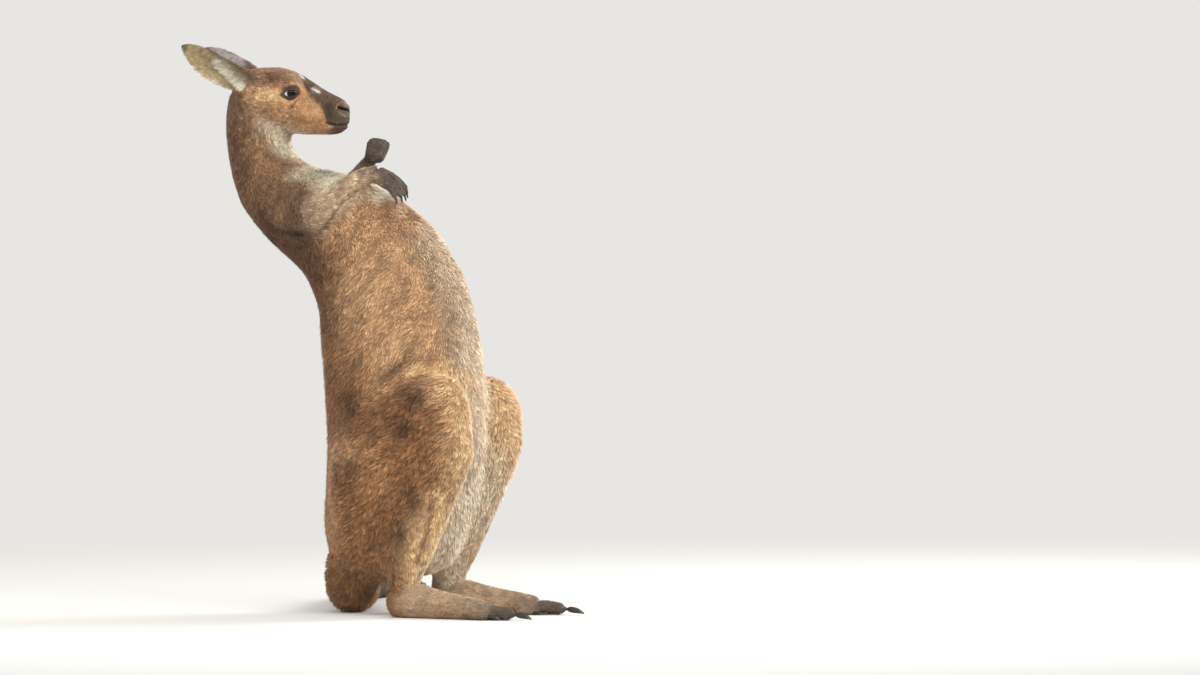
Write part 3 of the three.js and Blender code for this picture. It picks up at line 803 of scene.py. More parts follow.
@functools.lru_cache(maxsize=None)
def skin_surface():
    """
    The skin of the whole animal but its ears: the flesh's surface drawn in by the coat's
    depth, with lids, lips, nostrils, folds and wrinkles pressed into it.
    """
    points, triangles, weights, net = with_finer_head(*flesh_surface())
    normals = vertex_normals(points, triangles)
    points = points - normals * (by_node(weights, "depth") * MM)[:, None]
    normals = vertex_normals(smoothed(points, net, 2), triangles)
    points = with_folds(points, normals)
    points = with_wrinkles(points, normals, weights)
    points = with_face(points, normals, weights)
    points = with_lids(points)
    points[:, 2] = np.maximum(points[:, 2], SKIN_FLOOR)
    normals = vertex_normals(points, triangles)
    broad = unit(smoothed(normals, net, BROAD_ROUNDS))
    return Skin(points, triangles, normals, weights, lie_of_coat(points, normals, weights, net), broad)


def lie_of_coat(points, normals, weights, net):
    """
    The way the coat lies: each node's direction from its start to its end, swept to the
    rear by its share, blended, laid onto the surface and smoothed along it. On the head it
    runs from the nose to the nape.
    """
    ways = np.array([unit(centre(COAT[node].end) - centre(COAT[node].start)) for node in FLESH])
    ways[FLESH.index("head")] = -HEAD_X
    ways[FLESH.index("nose")] = -HEAD_X
    ways[FLESH.index("tail_tip")] = unit(centre("tail_tip") - centre("tail_middle"))
    ways[:, 0] -= [COAT[node].sweep for node in FLESH]
    lie = weights @ ways
    # the lie wavers a little, so that the coat runs in soft whorls
    lie += LIE_WAVER * np.stack([waves(points, 0.11, 40 + axis) for axis in range(3)], axis=1)
    for _ in range(4):
        lie = smoothed(laid(lie, normals), net, 4)
    return laid(lie, normals)


# ---- markings

# Patches of colour: node, the place as shares of its box, radii in millimetres, colour, strength.
PATCHES = [
    # painted shade: dark places of the thighs, the haunch and the flank, under the arm and in the armpit
    (THIGH, (0.70, 0.10, 0.86), (32, 70, 19), "shade", 0.95),
    (THIGH, (0.61, 0.08, 0.69), (24, 60, 17), "shade", 0.9),
    (THIGH, (0.65, 0.15, 0.30), (13, 60, 34), "shade", 0.75),
    (THIGH, (0.54, 0.25, 0.10), (22, 60, 32), "shade", 0.85),
    (THIGH, (0.16, 0.28, 0.34), (24, 60, 30), "shade", 0.35),
    (THIGH, (0.30, 0.15, 0.80), (16, 60, 14), "shade", 0.3),
    ("belly", (0.31, 0.08, 0.26), (28, 60, 42), "shade", 0.8),
    ("belly", (0.30, 0.08, 0.02), (22, 60, 24), "shade", 0.45),
    ("belly", (0.16, 0.10, 0.62), (22, 60, 60), "shade", 0.4),
    ("chest", (0.37, 0.08, 0.46), (34, 60, 26), "shade", 0.7),
    ("upper_arm_right", (0.88, 0.17, 0.28), (36, 60, 24), "nape", 0.6),
    ("thigh_left", (0.75, 0.92, 0.87), (34, 60, 24), "shade", 0.6),
    ("thigh_left", (0.52, 0.96, 0.20), (26, 60, 40), "shade", 0.6),
    ("thigh_left", (0.15, 0.78, 0.40), (30, 70, 50), "shade", 0.5),
    # light places: the haunch between them, the knees and the shins; on the fronts of the knees and shins the
    # light is a painted highlight
    (THIGH, (0.20, 0.28, 0.56), (36, 80, 20), "chest", 0.7),
    (THIGH, (0.06, 0.45, 0.46), (18, 90, 60), "chest", 0.5),
    (THIGH, (0.06, 0.60, 0.12), (26, 90, 34), "chest", 0.6),
    (THIGH, (0.82, 0.30, 0.90), (30, 60, 22), "tan", 0.6),
    (SHANK, (0.58, 0.24, 0.50), (22, 60, 34), "gold", 0.5),
    ("chest", (0.80, 0.10, 0.14), (60, 70, 60), "tan", 0.55),
    (THIGH, (0.42, 0.10, 0.45), (26, 60, 40), "chest", 0.3),
    (THIGH, (0.97, 0.30, 0.70), (34, 70, 74), "tan", 0.85),
    (THIGH, (0.80, 0.10, 0.14), (26, 70, 50), "tan", 0.6),
    ("thigh_left", (0.97, 0.60, 0.70), (56, 90, 80), "tan", 0.9),
    ("belly", (0.66, 0.05, 0.50), (56, 60, 34), "tan", 0.6),
    ("belly", (0.70, 0.03, 0.80), (60, 60, 60), "tan", 0.2),
    ("thigh_left", (0.84, 0.25, 0.28), (60, 90, 60), "throat", 0.6),
    ("tail_base", (0.30, 0.30, 0.30), (60, 90, 50), "nape", 0.4),
    ("neck", (0.34, 0.14, 0.78), (32, 60, 34), "nape", 0.85),
]
# Lines of colour: the points as of a fold, width in millimetres, colour and strength. They
# are drawn from the side, so that how far out a point lies counts little.
SIDEWAYS = np.array([1, 0.15, 1])
STRIPES = [
    # painted highlight along the crest of the thigh and its front edge
    ([(THIGH, 0.50, 0.5, 0.965), (THIGH, 0.60, 0.5, 1.0), (THIGH, 0.72, 0.5, 1.01),
      (THIGH, 0.83, 0.5, 0.96), (THIGH, 0.93, 0.5, 0.85), (THIGH, 0.975, 0.5, 0.68),
      (THIGH, 0.95, 0.5, 0.46)], 13, "gold", 0.95),
    # painted highlight along the shin's edge, with painted shade in the groove behind it
    ([(THIGH, 0.84, 0.38, 0.36), (SHANK, 0.89, 0.28, 0.80), (SHANK, 0.76, 0.5, 0.58),
      (SHANK, 0.60, 0.5, 0.36)], 5, "gold", 0.9),
    ([(THIGH, 0.78, 0.30, 0.36), (SHANK, 0.80, 0.28, 0.80), (SHANK, 0.66, 0.4, 0.58),
      (SHANK, 0.50, 0.4, 0.36)], 5, "shade", 0.6),
    # painted shade behind the crest and in the crease of the flank
    ([(THIGH, 0.36, 0.5, 0.93), (THIGH, 0.47, 0.5, 1.01), (THIGH, 0.60, 0.5, 1.065),
      (THIGH, 0.74, 0.5, 1.075)], 10, "shade", 0.38),
    ([("belly", 0.74, 0.10, 0.56), ("belly", 0.66, 0.06, 0.44), ("belly", 0.52, 0.06, 0.36)],
     7, "shade", 0.4),
    # painted highlight along the upper edge of the near forearm
    ([("forearm_right", 0.12, 0.30, 0.42), ("forearm_right", 0.50, 0.45, 0.82)], 5, "throat", 0.6),
]


DARKEST = 0.004          # no colour falls below this


def tones_of(colours):
    """The coat's colours by name."""
    return {name: np.array(getattr(colours, name)) for name in colours.__annotations__}


def paint(colour, share, target):
    """Draws colours in place towards a target by a share from 0 to 1."""
    colour += np.clip(share, 0, 1)[:, None] * (target - colour)


def face_colours(points, tone):
    """The head's markings as soft patches in its own axes, on both sides alike."""
    places = to_head(points)
    flat = side_view(places)
    (x, z), y = flat.T, np.abs(places[:, 1])
    colour = np.broadcast_to(tone["cheek"], (len(points), 3)).copy()
    mottle, speck = waves(points, 0.014, 21), waves(points, 0.006, 22, 8)

    def cover(share, name, strength=1.0):
        paint(colour, np.clip(share, 0, 1) * strength, tone[name])

    def patch(ahead, above, long, high, name, strength):
        away = np.hypot((x - ahead) / long, (z - above) / high) * (1 + 0.12 * speck)
        cover(bump(away, 1.0), name, strength)

    cover(ramp(x + 5 * mottle, -16, -56), "jowl", 0.9)
    cover(ramp(x + 3 * mottle, -60, -86) * ramp(z, 14, -4), "nape", 0.9)
    patch(12, -46, 24, 8, "brow", 0.45)
    patch(-16, -30, 12, 8, "brow", 0.25)
    patch(-34, -28, 26, 9, "jowl", 0.5)
    cover(ramp(z + 3 * mottle, 6, 20) * ramp(x, 34, 4), "crown")
    patch(0, 20, 19, 8, "cheek", 0.6)
    patch(-31, 21, 20, 12, "brow", 0.95)
    patch(-74, 28, 17, 20, "brow", 0.9)
    patch(-30, -6, 21, 9, "temple", 0.9 * ramp(y, 14, 24))
    patch(-6, -17, 14, 6, "temple", 0.45 * ramp(y, 14, 24))
    patch(38, -32, 17, 13, "temple", 0.42)
    # the throat: below a line that falls from behind the jaw to the chin
    throat = np.interp(x, [-84, -66, -50, -20, 20, 60], [-66, -50, -40, -46, -60, -70])
    cover(ramp(z - throat + 3.5 * mottle, 6, -13), "throat", 0.85)
    # the dark bridge: above a line that falls from ahead of the eye to the mouth's corner
    line = np.interp(x, [10, 17, 25, 34, 46, 52, 56, 62, 100], [30, 17, 0, -11, -20, -31, -47, -58, -62])
    above = z - line + 3.0 * mottle + 2.4 * speck
    bridge = ramp(above, -8, 6) * ramp(x, 8, 20)
    cover(bridge, "bridge", 0.95)
    patch(59, -24, 10, 7, "dark", 0.75)
    patch(60, -37, 6, 9, "dark", 0.6)
    patch(84, -28, 20, 19, "lip", 0.6)
    patch(31, 12, 5, 9, "dark", 0.35)
    cover(bridge * ramp(above, 14, 3) * ramp(x, 30, 46) * ramp(x, 84, 70), "dark", 0.28)
    cover(ramp(x, 64, 78) * ramp(z, -34, -42) * ramp(z, -60, -54), "lip", 0.8)
    cover(ramp(x + 2 * speck, 54, 68) * ramp(z, -55.5, -57.5), "bridge", 0.85)
    patch(60.5, -58.5, 5.5, 2.6, "throat", 0.65 * ramp(y, 5, 9))
    lines = (
        (MOUTH, 1.4, "dark", 0.95),
        ([(6.5, -15), (2, -21), (-4, -28)], 1.6, "brow", 0.85),
        # painted shade in the fold ahead of the eye
        ([(17, 19), (21, 12), (26, 4)], 2.0, "dark", 0.6),
        ([(0, 14), (10, 12), (19, 4.4)], 2.2, "temple", 0.6),
        # painted highlights on the raised rim over the nostril and on the fold below it
        (NOSE_ARC, 1.5, "ear", 0.42),
        (NOSE_FOLD, 1.3, "ear", 0.34),
    )
    for path, width, name, strength in lines:
        distance, _ = along_path(flat, path)
        cover(bump(distance, width) * ramp(y, 2, 5), name, strength)
    # two white marks, broadest and brightest in the middle, each in a paler haze
    for path, width in (([(9, 29.5), (15, 25.5), (22, 20)], 1.5), ([(31, 7.5), (38, 3.0), (48, -2.5)], 1.8)):
        distance, share = along_path(flat + 0.5 * speck[:, None], path)
        middle = np.sin(np.pi * np.clip(share, 0, 1)) ** 0.7
        cover(bump(distance, width * 3.4) * middle * ramp(y, 2, 5), "haze", 0.6)
        cover(bump(distance, width * (0.4 + 0.6 * middle)) * middle * ramp(y, 2, 5), "cream", 0.95)
    for side in SIDES:
        around, _ = eye_places(points, side)
        cover(ramp(lid_ring(around), 1.16, 0.90) * (around[:, 2] > 0), "dark", 0.93)
        fold, _ = along_path(flat, [(-15, 5), (-5, 10.4), (6, 10.2), (11, 6)])
        cover(bump(fold, 2.6) * (around[:, 2] > 0), "brow", 0.85)
        upper = (around[:, 2] > 0) * ramp(around[:, 1], -2, 2)
        cover(ramp(eye_openness(around), 1.5, 1.1) * upper, "dark")
    # painted shade inside the nostril: dark along its slit and darkest at its middle
    nostril, share = along_path(flat, NOSTRIL)
    cover(bump(nostril, 2.1 * (1.2 - 0.5 * share)) * ramp(y, 3, 6), "dark", 1.0)
    colour *= 1 - 0.75 * (bump(nostril, 1.9) * ramp(y, 3, 6))[:, None]
    grain = waves(points, 0.0045, 23, 9)
    return colour * (1 + 0.06 * mottle + 0.09 * speck + 0.08 * grain)[:, None]


def lid_ring(around):
    """Under one on the dark lids: a shape that draws to a corner at both ends of the eye."""
    long, high = EYE_OPEN
    corner, above, below = LID_WIDE
    over = around[:, 1] - LID_MIDDLE[1]
    ahead = np.abs(around[:, 0] - LID_MIDDLE[0] - LID_SKEW * np.maximum(over, 0)) / (long + corner)
    up = np.abs(over) / (high + np.where(over > 0, above, below))
    return (ahead**LID_CORNER + up**LID_CORNER) ** (1 / LID_CORNER)


def graded(front, back, flank, belly, turn=(-0.55, 0.15), pale=(0.62, 0.93)):
    """A colour from the back through the flank to the front, by how far forward a place faces."""
    base = back + (flank - back) * ramp(front, *turn)[:, None]
    return base + (belly - base) * ramp(front, *pale)[:, None]


# How far from the middle of a forearm the hand's grey begins and is full.
HAND_REACH = {"right": (0.064, 0.088), "left": (0.052, 0.080)}


STRIP_HALF = 0.11        # half the belly's width, by which its pale strip is measured
HAUNCH_DARK = 0.8        # the haunch's lightness, as a share of the thigh's
INNER_LIGHT = 1.05       # that of the legs' inner sides, as a share of the belly's
LOINS = (0.42, 0.52)     # heights over which the haunch's colour turns into the back's
BIB_FACING = (0.25, 0.70)    # how far up the chest faces where its pale bib begins and is full
BIB_HEIGHT = (0.665, 0.72)
# the bib's tint makes it paler than the throat: part the chest's own cream, part painted light
BIB_TINT = np.array([1.06, 0.95, 0.86])   # the bib's cream against the ears'
INNER_HEIGHT = (0.34, 0.24)  # heights over which the legs' inner sides turn pale
TOE_FADE = 0.11          # length over which the feet darken to their ends
FINGER_REACH = (0.100, 0.128)    # distances from the forearm's middle where the fingers darken


def pale_front(points, front):
    """The pale strip down the middle of the trunk: soft at the chest, and wider to the loins."""
    across = np.abs(points[:, 1] - centre("belly")[1]) / STRIP_HALF + 0.05 * waves(points, 0.05, 16)
    wide = 0.22 + 0.42 * ramp(points[:, 2], 0.50, 0.34)
    strong = 0.35 + 0.6 * ramp(points[:, 2], 0.52, 0.40)
    return ramp(across, wide + 0.16, wide - 0.10) * strong * ramp(front, 0.2, 0.6)


def base_colours(points, normals, tone):
    """
    The colours of each kind of node before patches and lines. On the trunk, neck and limbs
    they run from the back through the flank to the front with the way the skin broadly
    faces, and the head has its own.
    """
    front = normals[:, 0] + 0.08 * waves(points, 0.12, 3)
    face = face_colours(points, tone)
    chest, flank, arm, paw, tail = (tone[name] for name in ("chest", "flank", "arm", "paw", "tail"))
    inner, haunch = tone["belly"] * INNER_LIGHT, tone["thigh"] * HAUNCH_DARK
    low_back = haunch + (tone["back"] - haunch) * ramp(points[:, 2], *LOINS)[:, None]
    by_name = {
        "neck": graded(front, tone["nape"], tone["neck"], tone["throat"], (-0.75, 0.35), (0.45, 0.95)),
        "chest": graded(front, tone["back"], chest * 0.95, chest, (-0.6, 0.35)),
        "belly": graded(front, low_back, chest * 0.95, arm, (-0.75, 0.45), (0.5, 0.85)),
        "rump": graded(front, haunch, flank, inner, (-0.5, 0.3), (0.35, 0.8)),
        "thigh": graded(front, haunch, tone["thigh"], tone["tan"], (-0.6, 0.2), (0.35, 0.85)),
        "shank": graded(front, flank, tone["tan"] * 0.94, tone["belly"], (-0.6, 0.3), (0.6, 0.97)),
        "foot": graded(front, flank, arm, arm * 0.9),
        "upper_arm": graded(front, tone["neck"] * 0.95, tone["neck"], arm, (-0.7, 0.3)),
        "forearm": graded(front, arm * 0.85, arm, arm * 1.1),
        "hand": graded(front, paw * 0.9, paw, paw * 1.1),
        "tail_base": graded(front, haunch, flank, flank),
        "tail_middle": graded(front, haunch * 0.8, haunch, haunch),
        "tail_tip": graded(front, tail, tail, tail),
        "head": face,
        "nose": face,
    }
    paint(by_name["belly"], pale_front(points, front), inner)
    # a pale collar runs from behind the jaw to the throat
    x, z = side_view(to_head(points)).T
    collar = np.hypot((x + 16) / 54, (z + 65 + 0.4 * (x + 20)) / 17)
    collar = bump(collar * (1 + 0.15 * waves(points, 0.02, 18)), 1.0)
    paint(by_name["neck"], collar * 0.8, tone["throat"])
    # the top of the chest is pale in front of the arms: its own cream, painted paler where it faces up, as
    # painted light that lifts the shade of the head and arms
    bib = ramp(normals[:, 2] + 0.45 * normals[:, 0], *BIB_FACING)
    bib = bib * ramp(points[:, 2] + 0.02 * waves(points, 0.05, 17), *BIB_HEIGHT)
    paint(by_name["chest"], bib * 0.95, tone["cream"] * BIB_TINT)
    # the inner sides of the legs are pale
    inward = -normals[:, 1] * np.sign(points[:, 1] - centre("belly")[1])
    inward = ramp(inward, -0.1, 0.6) * ramp(points[:, 2], *INNER_HEIGHT)
    for name in ("thigh", "shank"):
        paint(by_name[name], inward, inner)
    return by_name


def paint_hand(colour, points, weights, side, tone):
    """A hand's grey from the wrist on, darker to the finger ends and in the wrist's creases."""
    reach = np.linalg.norm(points - centre(f"forearm_{side}"), axis=1)
    own = belongs(weights, f"hand_{side}", f"forearm_{side}")
    start, end = HAND_REACH[side]
    mottled = 1 + 0.5 * waves(points, 0.007, 15)
    sleeve = tone["arm"] * 0.8
    hand = ramp(reach + 0.004 * mottled, start, end) * own
    grey = sleeve + (tone["paw"] - sleeve) * hand[:, None]
    paint(colour, own * ramp(reach, start - 0.02, start), grey)
    ends = ramp(reach, *FINGER_REACH) * belongs(weights, f"hand_{side}")
    paint(colour, ends * 0.55, tone["dark"] * 1.3)
    # painted shade in the wrist's creases, darkest where they are pressed deepest
    deep = WRINKLES["deep"]
    paint(colour, wrist_crease(points, weights, side) * deep[side] / deep["left"] * 0.6, tone["dark"])


def markings(points, normals, weights):
    """
    The coat's colours: those of each node, blended, with soft patches, lines and a slow
    unevenness over them.
    """
    tone = tones_of(bpy.context.scene.kangaroo_colours)
    by_name = base_colours(points, normals, tone)
    colour = np.zeros((len(points), 3))
    for index, node in enumerate(FLESH):
        name = node if node in by_name else node.rsplit("_", 1)[0]
        colour += weights[:, [index]] * by_name[name]
    body = 1 - belongs(weights, "head", "nose", "hand")
    # patches and lines: the coat's own markings, with painted shade and painted highlights on the haunches,
    # arms, shins and flank
    for node, share, radii, name, strength in PATCHES:
        away = (points - place_in(node, share)) / (np.array(radii) * MM)
        away = np.linalg.norm(away, axis=1) * (1 + 0.16 * waves(points, 0.03, 14))
        paint(colour, bump(away, 1.0) * strength * body, tone[name])
    for shares, width, name, strength in STRIPES:
        path = np.array([place_in(node, place) for node, *place in shares])
        distance, share = along_path(points * SIDEWAYS, path * SIDEWAYS)
        stripe = bump(distance, width * MM) * ramp(share, 0, 0.12) * ramp(share, 1, 0.88)
        paint(colour, stripe * strength * body, tone[name])
    instep = centre("foot_right")[0]
    toes = belongs(weights, "foot") * ramp(points[:, 0], instep, instep + TOE_FADE)
    paint(colour, toes, tone["paw"])
    for side in SIDES:
        paint_hand(colour, points, weights, side, tone)
    patchy = 0.10 * waves(points, 0.045, 8) + 0.07 * waves(points, 0.018, 9)
    return np.clip(colour * (1 + patchy * (0.35 + 0.65 * body))[:, None], DARKEST, 1)


# ---- ears


# Roots of the ears, the way that each cup opens in the head's millimetres, half the width of
# the leaf, and the radius of its bend at root and tip.
EAR_ROOTS = {"right": (-69, -26, 18), "left": (-55, 25, 13)}
EAR_OPENS = {"right": (-0.1, -1, -0.3), "left": (-0.25, 1, -0.4)}
EAR_HALF = 26 * MM
EAR_BEND = (23 * MM, 44 * MM)
EAR_SUNK = 9 * MM        # the root reaches this far into the head
EAR_COAT = 0.5 * MM      # depth of the ears' own coat
EAR_ROUNDING = 2         # steps of subdivision
EAR_RIB = 0.3 * MM       # height of the ribs along the cup

Ear = namedtuple("Ear", "points triangles normals share across inside way facing")


@functools.lru_cache(maxsize=None)
def ear_surface(side):
    """
    One ear's skin: a copy of its node smoothed by two subdivisions. `share` runs from 0 at
    the root to 1 at the tip, `across` from -1 at the upper edge to 1 at the lower one, and
    `inside` is 1 in the cup and 0 on its back.
    """
    points, triangles = rounded(f"ear_{side}", EAR_ROUNDING)
    normals = vertex_normals(points, triangles)
    root = from_head(EAR_ROOTS[side])
    tip = points[np.argmax(np.linalg.norm(points - root, axis=1))]
    way = unit(tip - root)
    facing = from_head(EAR_OPENS[side]) - HEAD_ZERO
    facing = unit(facing - way * (facing @ way))
    share = (points - root) @ way / np.linalg.norm(tip - root)
    line = root + way * (points - root).dot(way)[:, None]
    across = (points - line) @ np.cross(facing, way) / EAR_HALF
    if np.cross(facing, way) @ UP > 0:
        across = -across
    bend = EAR_BEND[0] + (EAR_BEND[1] - EAR_BEND[0]) * np.clip(share, 0, 1) ** 1.5
    inside = ramp((normals * unit(line + facing * bend[:, None] - points)).sum(axis=1), -0.2, 0.3)
    # ribs run along the cup, and the root reaches into the head
    ribs = np.sin(across * 9 + 1.5 * share) * inside * ramp(share, 0.1, 0.3) * EAR_RIB
    points = points + normals * ribs[:, None] - way * (EAR_SUNK * ramp(share, 0.28, 0.08))[:, None]
    way, facing = (np.broadcast_to(vector, points.shape) for vector in (way, facing))
    return Ear(points, triangles, normals, share, across, inside, way, facing)


def ear_tuft(share, across, inside):
    """
    How much a place of the ear belongs to its long pale tuft, which runs slantwise from the
    upper edge down to the root's lower side, and how far it lies beyond it towards the head.
    """
    slant = across - (0.28 - 1.55 * share)
    tuft = inside * bump(slant, 0.35) * ramp(share, 0.02, 0.10) * ramp(share, 0.62, 0.50)
    beyond = ramp(slant, -0.25, -0.55) * ramp(share, 0.52, 0.30)
    return tuft, beyond


def ear_colours(points, share, across, inside, tone):
    """Mottled grey inside with a cream tuft, pale grey outside, dark at root, upper rim and tip."""
    streak, speck = waves(points, 0.012, 5), waves(points, 0.005, 6, 8)
    root = ramp(share, 0.5, 0.16)[:, None]
    colour = tone["ear_back"] * (1 + 0.10 * streak + 0.08 * speck)[:, None]
    colour = colour + root * (tone["brow"] * 1.1 - colour)
    # painted shade: the inside of the cup is darker along its hollow
    hollow = bump(across + 0.1, 0.25) * ramp(share, 0.95, 0.7) + 0.5 * bump(across - 0.35, 0.16)
    inner = tone["ear"] * (1.04 + 0.13 * streak + 0.13 * speck - 0.30 * hollow)[:, None]
    colour = colour + (inner - colour) * inside[:, None]

    def cover(share, name):
        paint(colour, share, tone[name])

    tuft, beyond = ear_tuft(share, across, inside)
    # painted shade in the pit at the root, below the tuft
    cover(inside * bump(across - (0.86 - 1.55 * share), 0.2) * ramp(share, 0.36, 0.16) * 0.75, "brow")
    cover(beyond * (0.62 + 0.22 * speck), "brow")
    cover(tuft * (0.84 + 0.22 * speck), "cream")
    cover(ramp(across, 0.72, 0.95) * 0.8 * ramp(share, 0.1, 0.2), "cream")
    cover(ramp(across, -0.6, -0.9) * ramp(share, 0.45, 0.7) * 0.75, "dark")
    cover(ramp(share + 0.03 * streak, 0.90, 1.0) * 0.8, "dark")
    return np.clip(colour, DARKEST, 1)


# ---- tufts

TUFT_UV = 0.003          # size of a tuft's patch on the bake map
TUFT_SUNK = 0.5 * MM     # its root starts this far below the skin
TUFT_FLOOR = 0.15 * MM   # nothing of the coat lies lower
TUFT_VARY = {"length": (0.72, 1.25), "height": (0.55, 1.15), "width": (0.75, 1.3), "lock": (0.4, 1.0)}
WHORL = 14               # degrees that the coat's whorls turn its lie
OWN_LIGHT, SKIN_LIGHT = 0.45, 0.55   # shares of its own and of the skin's normal by which light falls
TUFT_RING = 0.42         # where along a tuft it is widest
TUFT_THICK = 0.42        # thickness of a tuft, as a share of its width
LOCK_LIGHT = 0.14        # how much whole locks differ in lightness where they draw together
MOTTLE = 0.70            # and how much where hairs are mixed
ROOT_DARK = 0.80         # a tuft's lightness at its root, and what it gains to its tip
TIP_GAIN = 0.36
PALE_TIP = 0.38          # how much paler the tips of pale hairs are
# ripples of the coat: their spacing, stretch along the lie, the rise they give the tufts, and the painted
# light and shade on rises and dips
RIPPLE = {"apart": 8 * MM, "long": 0.55, "rise": 0.50, "light": 0.44}
RIPPLE_WAY = unit(np.array([-0.65, 0.0, -0.76]))   # down and to the rear

Roots = namedtuple("Roots", "points normals lie length height width colour uv lock grizzle")


def tuft_faces(count):
    """Triangles of `count` tufts: a point at the root, a ring of three and a point at the tip."""
    around = np.arange(3)
    after = (around + 1) % 3
    root = np.stack([np.zeros(3, int), 1 + after, 1 + around], axis=1)
    tip = np.stack([1 + around, 1 + after, np.full(3, 4)], axis=1)
    return (np.arange(count)[:, None, None] * 5 + np.concatenate([root, tip])).reshape(-1, 3)


def tuft_piece(name, roots, draw):
    """
    Many tufts as one mesh. A tuft's middle line leaves the skin at its steepest and bends
    down along the lie: its height over the skin is height * (1 - (1 - s)^2) at share s of
    its length. Its ring is a flat triangle across that line.
    """
    count = len(roots.points)
    fur = bpy.context.scene.kangaroo_fur

    def vary(what):
        return draw.uniform(*TUFT_VARY[what], count)

    turn = np.radians(draw.normal(0, fur.stray, count) + WHORL * waves(roots.points, 0.05, fur.seed))
    side = np.cross(roots.normals, roots.lie)
    lie = roots.lie * np.cos(turn)[:, None] + side * np.sin(turn)[:, None]
    side = np.cross(roots.normals, lie)
    length = roots.length * vary("length")
    height = roots.height * vary("height")
    width = roots.width * vary("width")
    tips = roots.points + lie * length[:, None] + roots.normals * height[:, None]
    # tips are drawn towards the tip of the nearest leader, which makes locks
    leaders = draw.choice(count, max(count // TUFTS_IN_LOCK, 1), replace=False)
    lock = nearest(roots.points.astype(np.float32), roots.points[leaders].astype(np.float32))
    bend = (tips[leaders[lock]] - tips) * (roots.lock * vary("lock"))[:, None]
    bend -= roots.normals * (bend * roots.normals).sum(axis=1, keepdims=True) * 0.4
    light = np.exp(roots.grizzle * draw.normal(size=count))
    lock_light = (LOCK_LIGHT * roots.lock + MOTTLE * roots.grizzle) * draw.normal(size=len(leaders))[lock]
    light *= np.exp(lock_light)
    pale_tip = 1 + PALE_TIP * (draw.uniform(size=count) < roots.grizzle)
    # the coat lies in soft ripples, which are longer along its way than across it
    along = RIPPLE["long"] * (roots.points @ RIPPLE_WAY)[:, None] * RIPPLE_WAY
    ripple = waves(roots.points - along, RIPPLE["apart"], fur.seed + 1) * roots.lock
    height = height * (1 + RIPPLE["rise"] * ripple)
    # painted light and shade: tufts on a ripple's rise are lighter and those in its dip darker
    light *= 1 + RIPPLE["light"] * ripple
    points, tones, flat = [], [], []
    corner = TUFT_UV * np.array([[-0.5, 0.0], [0.5, 0.0], [0.0, 0.25]])
    for share, corners in ((0.0, 1), (TUFT_RING, 3), (1.0, 1)):
        rise = height * (1 - (1 - share) ** 2) - TUFT_SUNK * (share == 0)
        line = roots.points + lie * (length * share)[:, None] + roots.normals * rise[:, None]
        line = line + bend * share**1.5
        tone = roots.colour * (light * (ROOT_DARK + TIP_GAIN * share))[:, None]
        if share == 1:
            tone = tone * pale_tip[:, None]
        spread = corner + [0, TUFT_UV * (share - 0.5)]
        if corners == 3:
            wide = side * (width / 2)[:, None]
            thick = roots.normals * (width * TUFT_THICK)[:, None]
            line = np.stack([line - wide, line + wide, line + thick], axis=1)
        else:
            line, spread = line[:, None], spread[:1] * [0, 1]
        points.append(line)
        tones.append(np.repeat(tone[:, None], corners, axis=1))
        flat.append(roots.uv[:, None] + spread)
    points, tones, flat = (np.concatenate(parts, axis=1) for parts in (points, tones, flat))
    points[..., 2] = np.maximum(points[..., 2], TUFT_FLOOR)
    points, faces = points.reshape(-1, 3), tuft_faces(count)
    piece = mesh_object(name, points, faces)
    painted(piece, tones.reshape(-1, 3))
    mapped(piece, flat.reshape(-1, 2)[faces])
    # light falls on a tuft mostly as on the skin below it, so that the coat looks soft
    own = vertex_normals(points, faces)
    below = np.repeat(roots.normals, 5, axis=0)
    own = np.where((own * below).sum(axis=1, keepdims=True) < 0, -own, own)
    own = unit(OWN_LIGHT * own + SKIN_LIGHT * below)
    piece.data.normals_split_custom_set_from_vertices(own)
    finished(piece, coat_material())


def painted(piece, colours, name="coat_colour"):
    """Gives each vertex its colour, as an attribute of this name."""
    rgba = np.concatenate([np.clip(colours, 0, 1), np.ones((len(colours), 1))], axis=1)
    attribute = piece.data.attributes.new(name, "FLOAT_COLOR", "POINT")
    attribute.data.foreach_set("color", rgba.astype(np.float32).ravel())


def mapped(piece, corners):
    """Gives each corner of each triangle its place on the bake map."""
    layer = piece.data.uv_layers.new(name="OFBake")
    layer.uv.foreach_set("vector", corners.astype(np.float32).ravel())


def finished(piece, material):
    """Material, slot and body of a piece."""
    piece.data.materials.append(material)
    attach(piece, "root")


def scattered(points, triangles, chance, count, draw):
    """Roots spread evenly by area and chance: triangle numbers and their three corner shares."""
    corners = points[triangles]
    area = np.linalg.norm(np.cross(corners[:, 1] - corners[:, 0], corners[:, 2] - corners[:, 0]), axis=1)
    total = np.cumsum(area * chance[triangles].mean(axis=1))
    steps = (np.arange(count) + draw.uniform(0, 1, count)) / count * total[-1]
    chosen = np.minimum(np.searchsorted(total, steps), len(triangles) - 1)
    shares = draw.dirichlet((1, 1, 1), count)
    return chosen, shares


def at_roots(values, triangles, chosen, shares):
    """Values of the vertices at the roots, by the roots' corner shares."""
    return (values[triangles[chosen]] * shares[..., None]).sum(axis=1)


def tuft_count(count):
    """The number of tufts that the settings ask for."""
    return int(count * bpy.context.scene.kangaroo_fur.density * (1))


